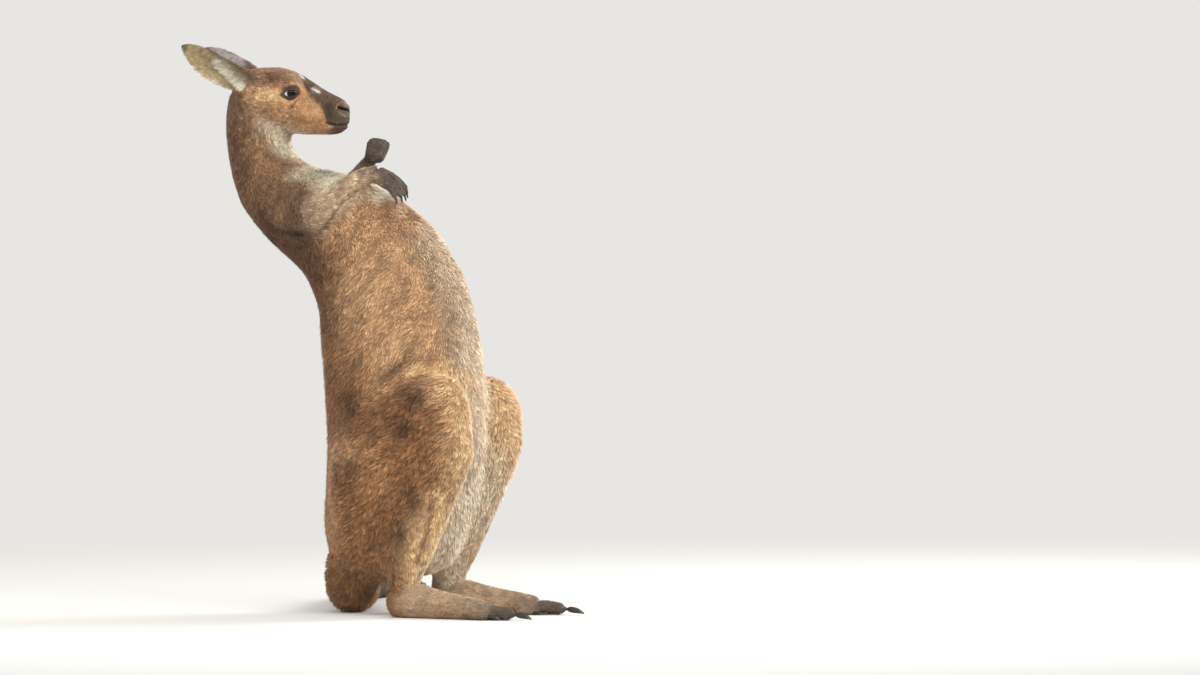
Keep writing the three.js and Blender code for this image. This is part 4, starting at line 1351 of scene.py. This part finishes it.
def grow_region(name, nodes, count):
    """The coat of some nodes: roots on the skin, each with the numbers of its place."""
    skin = skin_surface()
    draw = np.random.default_rng([bpy.context.scene.kangaroo_fur.seed, len(name), count])
    owner = np.argmax(skin.weights, axis=1)
    wanted = np.isin(owner[skin.triangles[:, 0]], [FLESH.index(node) for node in nodes])
    used, triangles = np.unique(skin.triangles[wanted], return_inverse=True)
    triangles = triangles.reshape(-1, 3)
    points, weights = skin.points[used], skin.weights[used]
    uv = unwrapped(points, triangles)
    chance = by_node(weights, "crowd") * bare_places(points, weights)
    chosen, shares = scattered(points, triangles, chance, tuft_count(count), draw)
    places, here, normals, lie, broad = (
        at_roots(values, triangles, chosen, shares)
        for values in (points, weights, skin.normals[used], skin.lie[used], skin.broad[used])
    )
    normals = unit(normals)
    size = lengths_of(places, here)
    roots = Roots(
        points=places, normals=normals, lie=laid(lie, normals),
        length=by_node(here, "length") * size * MM, height=by_node(here, "depth") * size * MM,
        width=by_node(here, "width") * np.sqrt(size) * MM, colour=markings(places, unit(broad), here),
        uv=(uv[chosen] * shares[..., None]).sum(axis=1),
        lock=by_node(here, "lock"), grizzle=by_node(here, "grizzle"),
    )
    tuft_piece(name, roots, draw)


def bare_places(points, weights):
    """Where tufts grow: one, down to nothing on the eyes, the lips' edge and the bare nose."""
    places = to_head(points)
    flat = side_view(places)
    share = np.ones(len(points))
    for side in SIDES:
        around, _ = eye_places(points, side)
        rim = np.hypot(around[:, 0] / 1.25, around[:, 1] * 1.5)
        share *= 1 - (rim < 12.5) * (around[:, 2] > 0) * (np.linalg.norm(around, axis=1) < 24)
    head = belongs(weights, "head", "nose")
    for path, reach in ((NOSTRIL, 4), (MOUTH, 1.6)):
        distance, _ = along_path(flat, path)
        share *= 1 - head * (distance < reach)
    share *= 1 - head * (np.linalg.norm(flat - NOSE_TIP, axis=1) < NOSE_BARE)
    return share


def lengths_of(points, weights):
    """Size of the tufts, as a share of their region's: on the head, smaller to nose and eyes."""
    places = to_head(points)
    head = belongs(weights, "head", "nose")
    face = 0.40 + 0.85 * ramp(places[:, 0], 75, -60)
    for side in SIDES:
        away = np.linalg.norm(points - EYES[side], axis=1) / MM
        face = face * (0.55 + 0.45 * ramp(away, 14, 30))
    return 1 + (face - 1) * head


# Length and height of the ears' hair in millimetres: everywhere, and what the long tuft, the
# fringe, the pit at the root and the place beyond the tuft add to it.
EAR_LENGTH = (3.4, 12, 4.5, 2.5, 4)
EAR_HEIGHT = (0.7, 6.0, 1.6, 1.0, 1.5)


def grow_ears():
    """
    The ears' hair: short on the back, along the ear inside it, a long pale tuft at the front
    of the opening and a fringe on the lower edge.
    """
    draw = np.random.default_rng([bpy.context.scene.kangaroo_fur.seed, 5])
    tone = tones_of(bpy.context.scene.kangaroo_colours)
    ears = [ear_surface(side) for side in SIDES]
    points, triangles = combined([(ear.points, ear.triangles) for ear in ears])

    normals, share, across, inside, way, facing = (
        np.concatenate([getattr(ear, field) for ear in ears]) for field in Ear._fields[2:]
    )
    front, beyond = ear_tuft(share, across, inside)
    fringe = inside * ramp(across, 0.55, 0.85) * ramp(share, 0.9, 0.7)
    pit = inside * ramp(share, 0.35, 0.2) * (1 - front)
    long, high = (
        least + tuft * front + edge * fringe + deep * pit + behind * beyond
        for least, tuft, edge, deep, behind in (EAR_LENGTH, EAR_HEIGHT)
    )
    upper = np.cross(way, facing)
    upper = np.where((upper @ UP < 0)[:, None], -upper, upper)
    lie = way * (1 - 0.6 * front)[:, None] + facing * (0.5 * front + 0.3 * fringe)[:, None]
    lie -= upper * (0.9 * front)[:, None]
    chance = (1 + 3.0 * front + 1.5 * fringe) * ramp(share, -0.02, 0.06)
    uv = unwrapped(points, triangles)
    chosen, shares = scattered(points, triangles, chance, tuft_count(EAR_TUFTS), draw)
    colours = ear_colours(points, share, across, inside, tone)
    places, normals, lie, colours, sizes = (
        at_roots(values, triangles, chosen, shares)
        for values in (points, normals, lie, colours, np.stack([long, high, front], axis=1))
    )
    normals = unit(normals)
    long, high, front = sizes.T
    roots = Roots(
        points=places, normals=normals, lie=laid(lie, normals), length=long * MM, height=high * MM,
        width=np.full(len(chosen), EAR_TUFT_WIDTH), colour=colours,
        uv=(uv[chosen] * shares[..., None]).sum(axis=1),
        lock=0.1 + 0.45 * front, grizzle=0.22 - 0.1 * front,
    )
    tuft_piece("coat_ears", roots, draw)


# ---- materials


def new_material(name):
    """An empty node material with its nodes and links."""
    material = bpy.data.materials.new(name)
    material.use_nodes = True
    return material, material.node_tree.nodes, material.node_tree.links


def added(nodes, kind, **values):
    """A new shader node with plain values on its inputs; _ stands for a space in their names."""
    node = nodes.new("ShaderNode" + kind)
    for name, value in values.items():
        node.inputs[name.replace("_", " ")].default_value = value
    return node


def attribute_node(nodes, name):
    """Reads one of the mesh's own attributes."""
    node = added(nodes, "Attribute")
    node.attribute_name = name
    return node


Finish = namedtuple("Finish", "material nodes links shader noise")


def grained(name, attribute, scale, detail, low, high, **values):
    """
    A finish coloured by a mesh's own attribute, which noise on the piece's object
    coordinates makes lighter and darker, from the low to the high share.
    """
    material, nodes, links = new_material(name)
    shader = nodes["Principled BSDF"]
    colour = attribute_node(nodes, attribute).outputs["Color"]
    noise = added(nodes, "TexNoise", Scale=scale, Detail=detail)
    links.new(added(nodes, "TexCoord").outputs["Object"], noise.inputs["Vector"])
    spread = added(nodes, "MapRange", From_Min=0.3, From_Max=0.7, To_Min=low, To_Max=high)
    links.new(noise.outputs["Fac"], spread.inputs["Value"])
    product = added(nodes, "VectorMath")
    product.operation = "SCALE"
    links.new(colour, product.inputs[0])
    links.new(spread.outputs["Result"], product.inputs["Scale"])
    links.new(product.outputs["Vector"], shader.inputs["Base Color"])
    for socket, value in values.items():
        shader.inputs[socket.replace("_", " ")].default_value = value
    return Finish(material, nodes, links, shader, noise.outputs["Fac"])


def roughened(finish, value, low, high):
    """Roughness that runs from low to high with a value."""
    spread = added(finish.nodes, "MapRange", To_Min=low, To_Max=high)
    finish.links.new(value, spread.inputs["Value"])
    finish.links.new(spread.outputs["Result"], finish.shader.inputs["Roughness"])


def embossed(finish, strength, distance):
    """Bump from a finish's own noise."""
    relief = added(finish.nodes, "Bump", Strength=strength, Distance=distance)
    finish.links.new(finish.noise, relief.inputs["Height"])
    finish.links.new(relief.outputs["Normal"], finish.shader.inputs["Normal"])


@functools.lru_cache(maxsize=None)
def coat_material():
    """Fur: the tuft's own colour with a fine unevenness, rough, with a soft sheen."""
    fur = grained(
        "coat_fur", "coat_colour", 420, 4, 0.82, 1.18,
        Specular_IOR_Level=0.3, Sheen_Weight=0.10, Sheen_Roughness=0.5,
    )
    roughened(fur, fur.noise, 0.58, 0.88)
    return fur.material


def skin_material():
    """Skin under the coat: the same markings, the grain of short fur, and leather where bare."""
    skin = grained("skin", "coat_colour", 900, 6, 0.7, 1.1, Specular_IOR_Level=0.35)
    roughened(skin, attribute_node(skin.nodes, "bare").outputs["Fac"], 0.9, 0.36)
    embossed(skin, 0.5, 0.6 * MM)
    return skin.material


@functools.lru_cache(maxsize=None)
def eye_material():
    """A wet eyeball: its own colours, fibres in the iris, under a clear smooth coat."""
    return grained(
        "wet_eye", "eye_colour", 2600, 3, 0.75, 1.25,
        Roughness=0.16, Specular_IOR_Level=0.1, Coat_Weight=0.22, Coat_Roughness=0.04,
    ).material


@functools.lru_cache(maxsize=None)
def horn_material():
    """Horn of the claws: dark grey-brown, paler to the worn tip, with a fine grain."""
    horn = grained("horn", "horn_colour", 700, 5, 0.7, 1.3)
    roughened(horn, horn.noise, 0.28, 0.55)
    embossed(horn, 0.35, 0.25 * MM)
    return horn.material


@functools.lru_cache(maxsize=None)
def bristle_material():
    """Whiskers and lashes: dark and a little glossy, with a slight unevenness."""
    return grained("bristle", "bristle_colour", 300, 2, 0.8, 1.2, Roughness=0.4).material


# ---- pieces


def build_skin():
    """The skin object: the body's surface and both ears, with markings, bare places and its unwrap."""
    skin = skin_surface()
    tone = tones_of(bpy.context.scene.kangaroo_colours)
    ears = [ear_surface(side) for side in SIDES]
    points, triangles = combined([
        (skin.points, skin.triangles), *((ear.points - ear.normals * EAR_COAT, ear.triangles) for ear in ears)
    ])
    colours = [markings(skin.points, skin.broad, skin.weights), *(
        ear_colours(ear.points, ear.share, ear.across, ear.inside, tone) for ear in ears
    )]
    bare = np.zeros(len(points), np.float32)
    bare[:len(skin.points)] = bare_skin(skin.points, skin.weights)
    piece = mesh_object("skin", points, triangles)
    painted(piece, np.concatenate(colours))
    piece.data.attributes.new("bare", "FLOAT", "POINT").data.foreach_set("value", bare)
    mapped(piece, unwrapped(points, triangles))
    finished(piece, skin_material())
    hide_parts(*FLESH, "ear_right", "ear_left")


def bare_skin(points, weights):
    """One on the nose and on the lids, and nothing elsewhere."""
    places = to_head(points)
    head = belongs(weights, "head", "nose")
    from_tip = np.linalg.norm(places[:, [0, 2]] - NOSE_TIP, axis=1)
    nose = ramp(from_tip, NOSE_BARE + 2, NOSE_BARE - 2)
    lids = np.zeros(len(points))
    for side in SIDES:
        around, _ = eye_places(points, side)
        rim = np.hypot(around[:, 0] / 1.25, around[:, 1] * 1.4)
        lids = np.maximum(lids, ramp(rim, 13, 11) * (around[:, 2] > 0))
    return np.maximum(nose, 0.6 * lids) * head


IRIS = 8.7               # radius of the dark iris, in millimetres
PUPIL = (5.4, 3.7)       # half length and half height of the pupil
IRIS_AHEAD = 2.6         # the iris sits this far ahead of the ball's outermost point
CORNEA = 0.9             # how far the clear front stands out
EYE_RINGS, EYE_AROUND = 56, 64
RING_CROWD = 1.6         # power that crowds the eyeball's rings towards the iris
WHITE_RGB, IRIS_RGB, BLACK_RGB = (230, 226, 226), (38, 23, 14), (6, 5, 5)


def build_eyes():
    """
    Eyeballs: spheres whose rings crowd towards the iris, with a slight swelling of the
    cornea. The pupil is a level oval in a dark brown iris with a black edge, and the rest
    is pale.
    """
    radius = EYE_RADIUS / MM
    polar = np.pi * (np.arange(1, EYE_RINGS) / EYE_RINGS)[:, None] ** RING_CROWD
    turn = np.linspace(0, 2 * np.pi, EYE_AROUND, endpoint=False)[None]
    for side in SIDES:
        _, (ahead, up, out) = eye_places(np.zeros((1, 3)), side)
        gaze = unit(out * np.sqrt(radius**2 - IRIS_AHEAD**2) + ahead * IRIS_AHEAD)
        level = unit(ahead - gaze * (ahead @ gaze))
        above = np.cross(gaze, level)
        above = above if above @ up > 0 else -above
        flat = np.sin(polar)
        grid = (
            gaze * np.cos(polar)[..., None]
            + level * (flat * np.cos(turn))[..., None] + above * (flat * np.sin(turn))[..., None]
        ).reshape(-1, 3)
        ball = np.concatenate([gaze[None], grid, -gaze[None]])
        offset = np.stack([ball @ level, ball @ above], axis=1) * radius
        front = ball @ gaze > 0
        from_middle = np.hypot(*offset.T)
        size = radius + CORNEA * ramp(from_middle, IRIS * 1.1, IRIS * 0.4) * front
        points = EYES[side] + ball * size[:, None] * MM
        piece = mesh_object(f"eyeball_{side}", points, ball_faces(side == "right"))
        painted(piece, eye_colours(offset, from_middle, front), "eye_colour")
        finished(piece, eye_material())
        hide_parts(f"eye_{side}")


def disc_faces(rings, around):
    """A fan round the middle point, and quads between the rings that follow it."""
    first = np.arange(around)
    after = (first + 1) % around
    fan = np.stack([np.zeros(around, int), 1 + first, 1 + after], axis=1)
    low = 1 + around * np.arange(rings - 1)[:, None]
    quads = np.stack([low + first, low + around + first, low + around + after, low + after], axis=2)
    return fan, quads.reshape(-1, 4)


def ball_faces(flipped):
    """The eyeball's faces: a disc's, closed by a second fan at the far pole."""
    fan, quads = disc_faces(EYE_RINGS - 1, EYE_AROUND)
    far = fan[:, [0, 2, 1]] + (EYE_RINGS - 2) * EYE_AROUND
    far[:, 0] = 1 + (EYE_RINGS - 1) * EYE_AROUND
    groups = [np.concatenate([fan, far]), quads]
    return [group[:, ::-1] for group in groups] if flipped else groups


def eye_colours(offset, from_middle, front):
    """Black pupil, brown iris with a black edge, and a pale white."""
    white, iris, black = (linear(*rgb) for rgb in (WHITE_RGB, IRIS_RGB, BLACK_RGB))
    colour = white * (1 - 0.2 * ramp(from_middle, IRIS + 1, IRIS + 4))[:, None]
    # ahead of the iris the white is painted dark
    paint(colour, ramp(offset[:, 0], 2, 7), black * 3)
    inner = iris * (0.8 + 0.5 * ramp(from_middle, 4, 7) * ramp(offset[:, 1], 4, -4))[:, None]
    paint(inner, ramp(from_middle, IRIS * 0.8, IRIS), black)
    paint(inner, ramp(np.hypot(offset[:, 0] / PUPIL[0], offset[:, 1] / PUPIL[1]), 1.12, 0.92), black)
    paint(colour, ramp(from_middle, IRIS + 0.5, IRIS - 0.5) * front, inner)
    return colour


def swept(paths, radii, around):
    """
    Closed tubes along many paths at once. `paths` holds each path's points and `radii` the
    radius at each; the ring at each point lies across the path there, and a point closes
    both ends. Returns points, triangles and each point's share of its path.
    """
    count, stations, _ = paths.shape
    way = unit(np.gradient(paths, axis=1))
    across = unit(np.cross(way, np.array([0.31, 0.23, 0.92])))
    over = np.cross(way, across)
    turn = np.linspace(0, 2 * np.pi, around, endpoint=False)
    ring = across[:, :, None] * np.cos(turn)[:, None] + over[:, :, None] * np.sin(turn)[:, None]
    rings = paths[:, :, None] + ring * radii[..., None, None]
    points = np.concatenate([paths[:, :1], rings.reshape(count, -1, 3), paths[:, -1:]], axis=1)
    first = np.arange(around)
    after = (first + 1) % around
    low = 1 + around * np.arange(stations - 1)[:, None]
    high = low + around
    sides = [
        np.stack(corners, axis=2).reshape(-1, 3)
        for corners in ((low + first, low + after, high + after), (low + first, high + after, high + first))
    ]
    last = 1 + around * (stations - 1)
    root = np.stack([np.zeros(around, int), 1 + after, 1 + first], axis=1)
    end = np.stack([last + first, last + after, np.full(around, last + around)], axis=1)
    template = np.concatenate([root, *sides, end])
    size = points.shape[1]
    faces = (np.arange(count)[:, None, None] * size + template).reshape(-1, 3)
    share = np.concatenate([[0], np.repeat(np.linspace(0, 1, stations), around), [1]])
    return points.reshape(-1, 3), faces, np.tile(share, count)


CLAW_ROUNDING = 3        # steps of subdivision
CLAW_ROOT = 4 * MM       # the root reaches this far back into the digit
CLAW_GROW = 0.30         # how much a claw grows where it is thickest, in millimetres
CLAW_RING = (0.06, 5.2)  # height of its rings in millimetres, and their steps per millimetre
CLAW_FLOOR = 0.2 * MM    # nothing of a claw lies lower
CLAW_TIP = {"hand": 0.75, "foot": 0.35}   # how pale the worn tips are
CLAW_RGB = ((44, 38, 35), (150, 134, 118))   # dark horn, and the worn tips


def build_claws():
    """
    Claws, one piece for each hand and foot: each is its node rounded by subdivision, grown
    a little where it is thickest, with fine rings across its length.
    """
    dark, pale = (linear(*rgb) for rgb in CLAW_RGB)
    height, steps = CLAW_RING
    for limb, nodes in CLAWS.items():
        kind = limb.split("_")[0]
        base = centre(limb) if kind == "hand" else place_in(limb, (0.4, 0.5, 0.4))
        sets, colours = [], []
        for node in nodes:
            points, triangles = rounded(node, CLAW_ROUNDING)
            away = np.linalg.norm(points - base, axis=1)
            share = ramp(away, away.min(), away.max())
            axis = points[share > 0.8].mean(axis=0) - points[share < 0.3].mean(axis=0)
            points = points - unit(axis) * (CLAW_ROOT * ramp(share, 0.45, 0.0))[:, None]
            normals = vertex_normals(points, triangles)
            rings = height * np.sin(away / MM * steps) * ramp(share, 0.9, 0.3)
            points = points + normals * ((CLAW_GROW + rings) * MM * ramp(share, 1.0, 0.6))[:, None]
            points[:, 2] = np.maximum(points[:, 2], CLAW_FLOOR)
            sets.append((points, triangles))
            colours.append(dark + (pale - dark) * (ramp(share, 0.72, 1.0) * CLAW_TIP[kind])[:, None])
        piece = mesh_object(f"claws_{limb}", *combined(sets))
        painted(piece, np.concatenate(colours), "horn_colour")
        finished(piece, horn_material())
        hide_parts(*nodes)


WHISKERS = 15            # on each side of the muzzle, in rows of five
WHISKER_AHEAD = (60, 5.2)    # place of a row's first whisker, and the step to the next, in
WHISKER_ABOVE = (-36, 5.5)   # the head's millimetres; height of the first row and the step down
WHISKER_LENGTH = (20, 34)
BROW_LENGTH = (12, 20)
WHISKER_RGB = ((34, 28, 26), (120, 104, 92))   # root and tip
BROW_HAIRS = 5
LASHES = 34
LASH_RGB = (30, 25, 24)


def bristles(name, paths, radii, colour_at):
    """Tapering bristles along many paths as one piece, coloured by their share of the path."""
    points, faces, along = swept(paths, radii, 3)
    piece = mesh_object(name, points, faces)
    painted(piece, colour_at(along[:, None]), "bristle_colour")
    finished(piece, bristle_material())


def on_skin(spots):
    """Each spot moved to the nearest point of the skin, with the skin's normal there."""
    skin = skin_surface()
    place = nearest(spots, skin.points)
    return skin.points[place], skin.normals[place]


def build_whiskers():
    """Whiskers in rows on the muzzle and a few hairs over each eye, bent back and down."""
    draw = np.random.default_rng([bpy.context.scene.kangaroo_fur.seed, 7])
    spots, aims, lengths = [], [], []
    for side in SIDES:
        out = -1 if side == "right" else 1
        for number in range(WHISKERS):
            row, place = divmod(number, 5)
            ahead = WHISKER_AHEAD[0] + WHISKER_AHEAD[1] * place + draw.normal(0, 0.8)
            above = WHISKER_ABOVE[0] - WHISKER_ABOVE[1] * row + draw.normal(0, 0.6)
            spots.append((ahead, out * 16, above))
            aims.append((-0.35 - 0.12 * (4 - place) + draw.normal(0, 0.1), out * 0.9, -0.25 - 0.2 * row))
            lengths.append(draw.uniform(*WHISKER_LENGTH) * (1 - 0.12 * place))
        for number in range(BROW_HAIRS):
            spots.append((10 - 5 * number, out * 28, 16 + draw.normal(0, 0.8)))
            aims.append((-0.5, out * 0.8, 0.55 + draw.normal(0, 0.1)))
            lengths.append(draw.uniform(*BROW_LENGTH))
    roots, normals = on_skin(from_head(spots))
    aims = unit(np.array(aims) @ np.stack([HEAD_X, HEAD_Y, HEAD_Z]) + 0.6 * normals)
    share = np.linspace(0, 1, 9)[None, :, None]
    length = np.array(lengths)[:, None, None] * MM
    sag = -UP * 0.28 - HEAD_X * 0.22
    paths = roots[:, None] - normals[:, None] * MM + aims[:, None] * length * share + sag * length * share**2
    radii = np.broadcast_to(0.20 * MM * (1.05 - share[..., 0]) ** 0.8, paths.shape[:2])
    dark, pale = (linear(*rgb) for rgb in WHISKER_RGB)
    bristles("whiskers", paths, radii, lambda along: dark + (pale - dark) * along**2)


def build_lashes():
    """Lashes: a row of short curved bristles along each upper lid, longest behind its middle."""
    draw = np.random.default_rng([bpy.context.scene.kangaroo_fur.seed, 9])
    share = np.linspace(0, 1, 6)[None, :, None]
    paths = []
    for side in SIDES:
        _, (ahead, up, out) = eye_places(np.zeros((1, 3)), side)
        angle = np.linspace(0.10, 0.93, LASHES) * np.pi + draw.normal(0, 0.015, LASHES)
        x, z = eye_edge(angle)
        radius = EYE_RADIUS / MM + LID_GAP / MM + 0.5
        y = np.sqrt(np.maximum(radius**2 - x**2 - z**2, 1))
        roots = EYES[side] + (x[:, None] * ahead + z[:, None] * up + y[:, None] * out) * MM
        length = (3.2 + 3.6 * np.sin(angle) * ramp(angle, 0.1, 1.6)) * draw.uniform(0.8, 1.15, LASHES) * MM
        length = length[:, None, None]
        aims = unit(out + 0.10 * up[None] + (x / 30)[:, None] * ahead + draw.normal(0, 0.08, (LASHES, 3)))
        curl = (up * 0.45 - ahead * 0.35) * length * share**2
        droop = -up * 0.25 * length * share
        paths.append(roots[:, None] + aims[:, None] * length * share + curl + droop)
    paths = np.concatenate(paths)
    radii = np.broadcast_to(0.17 * MM * (1.08 - share[..., 0]), paths.shape[:2])
    bristles("lashes", paths, radii, lambda along: linear(*LASH_RGB) + 0 * along)


PALE = (0.80, 0.79, 0.76, 1)     # floor and background
DAYLIGHT, DAYLIGHT_STRENGTH = (1.0, 0.98, 0.95, 1), 0.72
FLOOR_RADIUS, FLOOR_RINGS, FLOOR_AROUND = 60.0, 11, 64
FLOOR_FADE = (0.7, 3.0)  # the floor turns into the background between these distances
LAMP_TARGET = np.array([0.0, 0.0, 0.46])
LAMPS = {                # place, width, height and power in watts
    "key": ((1.6, -2.2, 2.3), 3.0, 1.2, 66),
    "fill": ((-2.4, -1.6, 1.4), 2.2, 2.2, 22),
    "rim": ((1.9, 1.9, 1.9), 1.4, 1.4, 70),
}
CAMERA_TARGET = np.array([0.322, -0.076, 0.456])
SENSOR = 36              # width in millimetres


def build_stage():
    """World, floor, lights and camera."""
    bpy.context.scene.view_settings.view_transform = "Standard"
    build_world()
    build_floor()
    build_lamps()
    build_camera()


def seen_directly(nodes, links):
    """One for rays from the camera and for those that gloss or glass send on, else nothing."""
    path = added(nodes, "LightPath")
    total = path.outputs["Is Camera Ray"]
    for ray in ("Is Glossy Ray", "Is Transmission Ray"):
        larger = added(nodes, "Math")
        larger.operation = "MAXIMUM"
        links.new(total, larger.inputs[0])
        links.new(path.outputs[ray], larger.inputs[1])
        total = larger.outputs["Value"]
    return total


def build_world():
    """Soft light from all around, with a pale background where it is seen directly."""
    world = bpy.data.worlds.new("studio")
    world.use_nodes = True
    nodes, links = world.node_tree.nodes, world.node_tree.links
    light, seen = nodes["Background"], added(nodes, "Background", Color=PALE, Strength=1.0)
    light.inputs["Color"].default_value = DAYLIGHT
    light.inputs["Strength"].default_value = DAYLIGHT_STRENGTH
    mix = added(nodes, "MixShader")
    links.new(seen_directly(nodes, links), mix.inputs["Fac"])
    links.new(light.outputs["Background"], mix.inputs[1])
    links.new(seen.outputs["Background"], mix.inputs[2])
    links.new(mix.outputs["Shader"], nodes["World Output"].inputs["Surface"])
    bpy.context.scene.world = world


def build_floor():
    """
    A disc whose rings' radius grows as the square of their number. Away from the animal it
    turns into the background's even colour, where it is seen directly.
    """
    radius = FLOOR_RADIUS * np.linspace(0.0, 1, FLOOR_RINGS + 1)[1:, None] ** 2
    angle = np.linspace(0, 2 * np.pi, FLOOR_AROUND, endpoint=False)[None]
    rings = np.stack([radius * np.cos(angle), radius * np.sin(angle), 0 * radius * angle], axis=2)
    points = np.concatenate([np.zeros((1, 3)), rings.reshape(-1, 3)])
    floor = mesh_object("floor", points, list(disc_faces(FLOOR_RINGS, FLOOR_AROUND)))
    material, nodes, links = new_material("floor")
    shader = nodes["Principled BSDF"]
    shader.inputs["Base Color"].default_value = PALE
    shader.inputs["Roughness"].default_value = 0.9
    length = added(nodes, "VectorMath")
    length.operation = "LENGTH"
    links.new(added(nodes, "TexCoord").outputs["Object"], length.inputs[0])
    fade = added(nodes, "MapRange", From_Min=FLOOR_FADE[0], From_Max=FLOOR_FADE[1])
    fade.interpolation_type = "SMOOTHSTEP"
    links.new(length.outputs["Value"], fade.inputs["Value"])
    share, mix = added(nodes, "Math"), added(nodes, "MixShader")
    share.operation = "MULTIPLY"
    links.new(seen_directly(nodes, links), share.inputs[0])
    links.new(fade.outputs["Result"], share.inputs[1])
    links.new(share.outputs["Value"], mix.inputs["Fac"])
    links.new(shader.outputs["BSDF"], mix.inputs[1])
    links.new(added(nodes, "Emission", Color=PALE).outputs["Emission"], mix.inputs[2])
    links.new(mix.outputs["Shader"], nodes["Material Output"].inputs["Surface"])
    floor.data.materials.append(material)


def build_lamps():
    """Three wide lamps that look at the animal's middle."""
    for name, (place, wide, high, power) in LAMPS.items():
        lamp = bpy.data.objects.new(name, bpy.data.lights.new(name, "AREA"))
        lamp.data.shape, lamp.data.energy = "RECTANGLE", power
        lamp.data.size, lamp.data.size_y = wide, high
        aim(lamp, np.array(place), LAMP_TARGET)
        bpy.context.scene.collection.objects.link(lamp)


def build_camera():
    """A long lens, as far away as the width of the view asks."""
    scene = bpy.context.scene
    stage = scene.kangaroo_stage
    camera = bpy.data.objects.new("camera", bpy.data.cameras.new("camera"))
    camera.data.lens, camera.data.sensor_width = stage.lens, SENSOR
    turn, lift = np.radians(stage.azimuth), np.radians(stage.elevation)
    out = np.array([np.sin(turn) * np.cos(lift), -np.cos(turn) * np.cos(lift), np.sin(lift)])
    aim(camera, CAMERA_TARGET + out * (stage.width * stage.lens / SENSOR), CAMERA_TARGET)
    camera.data.clip_end = 100
    scene.collection.objects.link(camera)
    scene.camera = camera


def aim(thing, place, target):
    """Puts a lamp or camera at a place, looking at a target with its top up."""
    back = unit(place - target)
    right = unit(np.cross(UP, back))
    matrix = np.eye(4)
    matrix[:3, :3] = np.stack([right, np.cross(back, right), back], axis=1)
    matrix[:3, 3] = place
    thing.matrix_world = Matrix(matrix.tolist())


# ---- operators and panel


class KANGAROO_OT_skin(bpy.types.Operator):
    """Builds the skin over all nodes of flesh"""

    bl_idname = "kangaroo.skin"
    bl_label = "Skin"

    def execute(self, context):
        build_skin()
        return {"FINISHED"}


class KANGAROO_OT_coat(bpy.types.Operator):
    """Grows the coat, region by region"""

    bl_idname = "kangaroo.coat"
    bl_label = "Coat"

    def execute(self, context):
        for name, (nodes, count) in PIECES.items():
            grow_region(name, nodes, count)
        return {"FINISHED"}


class KANGAROO_OT_ears(bpy.types.Operator):
    """Grows the hair of both ears"""

    bl_idname = "kangaroo.ears"
    bl_label = "Ears"

    def execute(self, context):
        grow_ears()
        return {"FINISHED"}


class KANGAROO_OT_eyes(bpy.types.Operator):
    """Makes both eyeballs and their lashes"""

    bl_idname = "kangaroo.eyes"
    bl_label = "Eyes"

    def execute(self, context):
        build_eyes()
        build_lashes()
        return {"FINISHED"}


class KANGAROO_OT_claws(bpy.types.Operator):
    """Makes the claws of hands and feet"""

    bl_idname = "kangaroo.claws"
    bl_label = "Claws"

    def execute(self, context):
        build_claws()
        return {"FINISHED"}


class KANGAROO_OT_whiskers(bpy.types.Operator):
    """Makes the whiskers and the hairs of the brow"""

    bl_idname = "kangaroo.whiskers"
    bl_label = "Whiskers"

    def execute(self, context):
        build_whiskers()
        return {"FINISHED"}


class KANGAROO_OT_stage(bpy.types.Operator):
    """Sets floor, lights and camera"""

    bl_idname = "kangaroo.stage"
    bl_label = "Stage"

    def execute(self, context):
        build_stage()
        return {"FINISHED"}


STEPS = (
    KANGAROO_OT_skin, KANGAROO_OT_coat, KANGAROO_OT_ears, KANGAROO_OT_eyes, KANGAROO_OT_claws,
    KANGAROO_OT_whiskers, KANGAROO_OT_stage,
)


class KANGAROO_PT_panel(bpy.types.Panel):
    """Lists the settings and the steps"""

    bl_idname = "KANGAROO_PT_panel"
    bl_label = "Kangaroo"
    bl_space_type = "VIEW_3D"
    bl_region_type = "UI"
    bl_category = "Kangaroo"

    def draw(self, context):
        for name in ("kangaroo_colours", "kangaroo_fur", "kangaroo_stage"):
            group = getattr(context.scene, name)
            for prop in group.__annotations__:
                self.layout.prop(group, prop)
        for step in STEPS:
            self.layout.operator(step.bl_idname)


GROUPS = {"kangaroo_colours": CoatColours, "kangaroo_fur": FurSettings, "kangaroo_stage": StageSettings}


def register():
    for group in (*GROUPS.values(), *STEPS, KANGAROO_PT_panel):
        bpy.utils.register_class(group)
    for name, group in GROUPS.items():
        setattr(bpy.types.Scene, name, bpy.props.PointerProperty(type=group))


def unregister():
    for name in GROUPS:
        delattr(bpy.types.Scene, name)
    for group in (KANGAROO_PT_panel, *STEPS, *GROUPS.values()):
        bpy.utils.unregister_class(group)


def main():
    register()
    for step in STEPS:
        family, name = step.bl_idname.split(".")
        getattr(getattr(bpy.ops, family), name)()


if __name__ == "__main__":
    main()
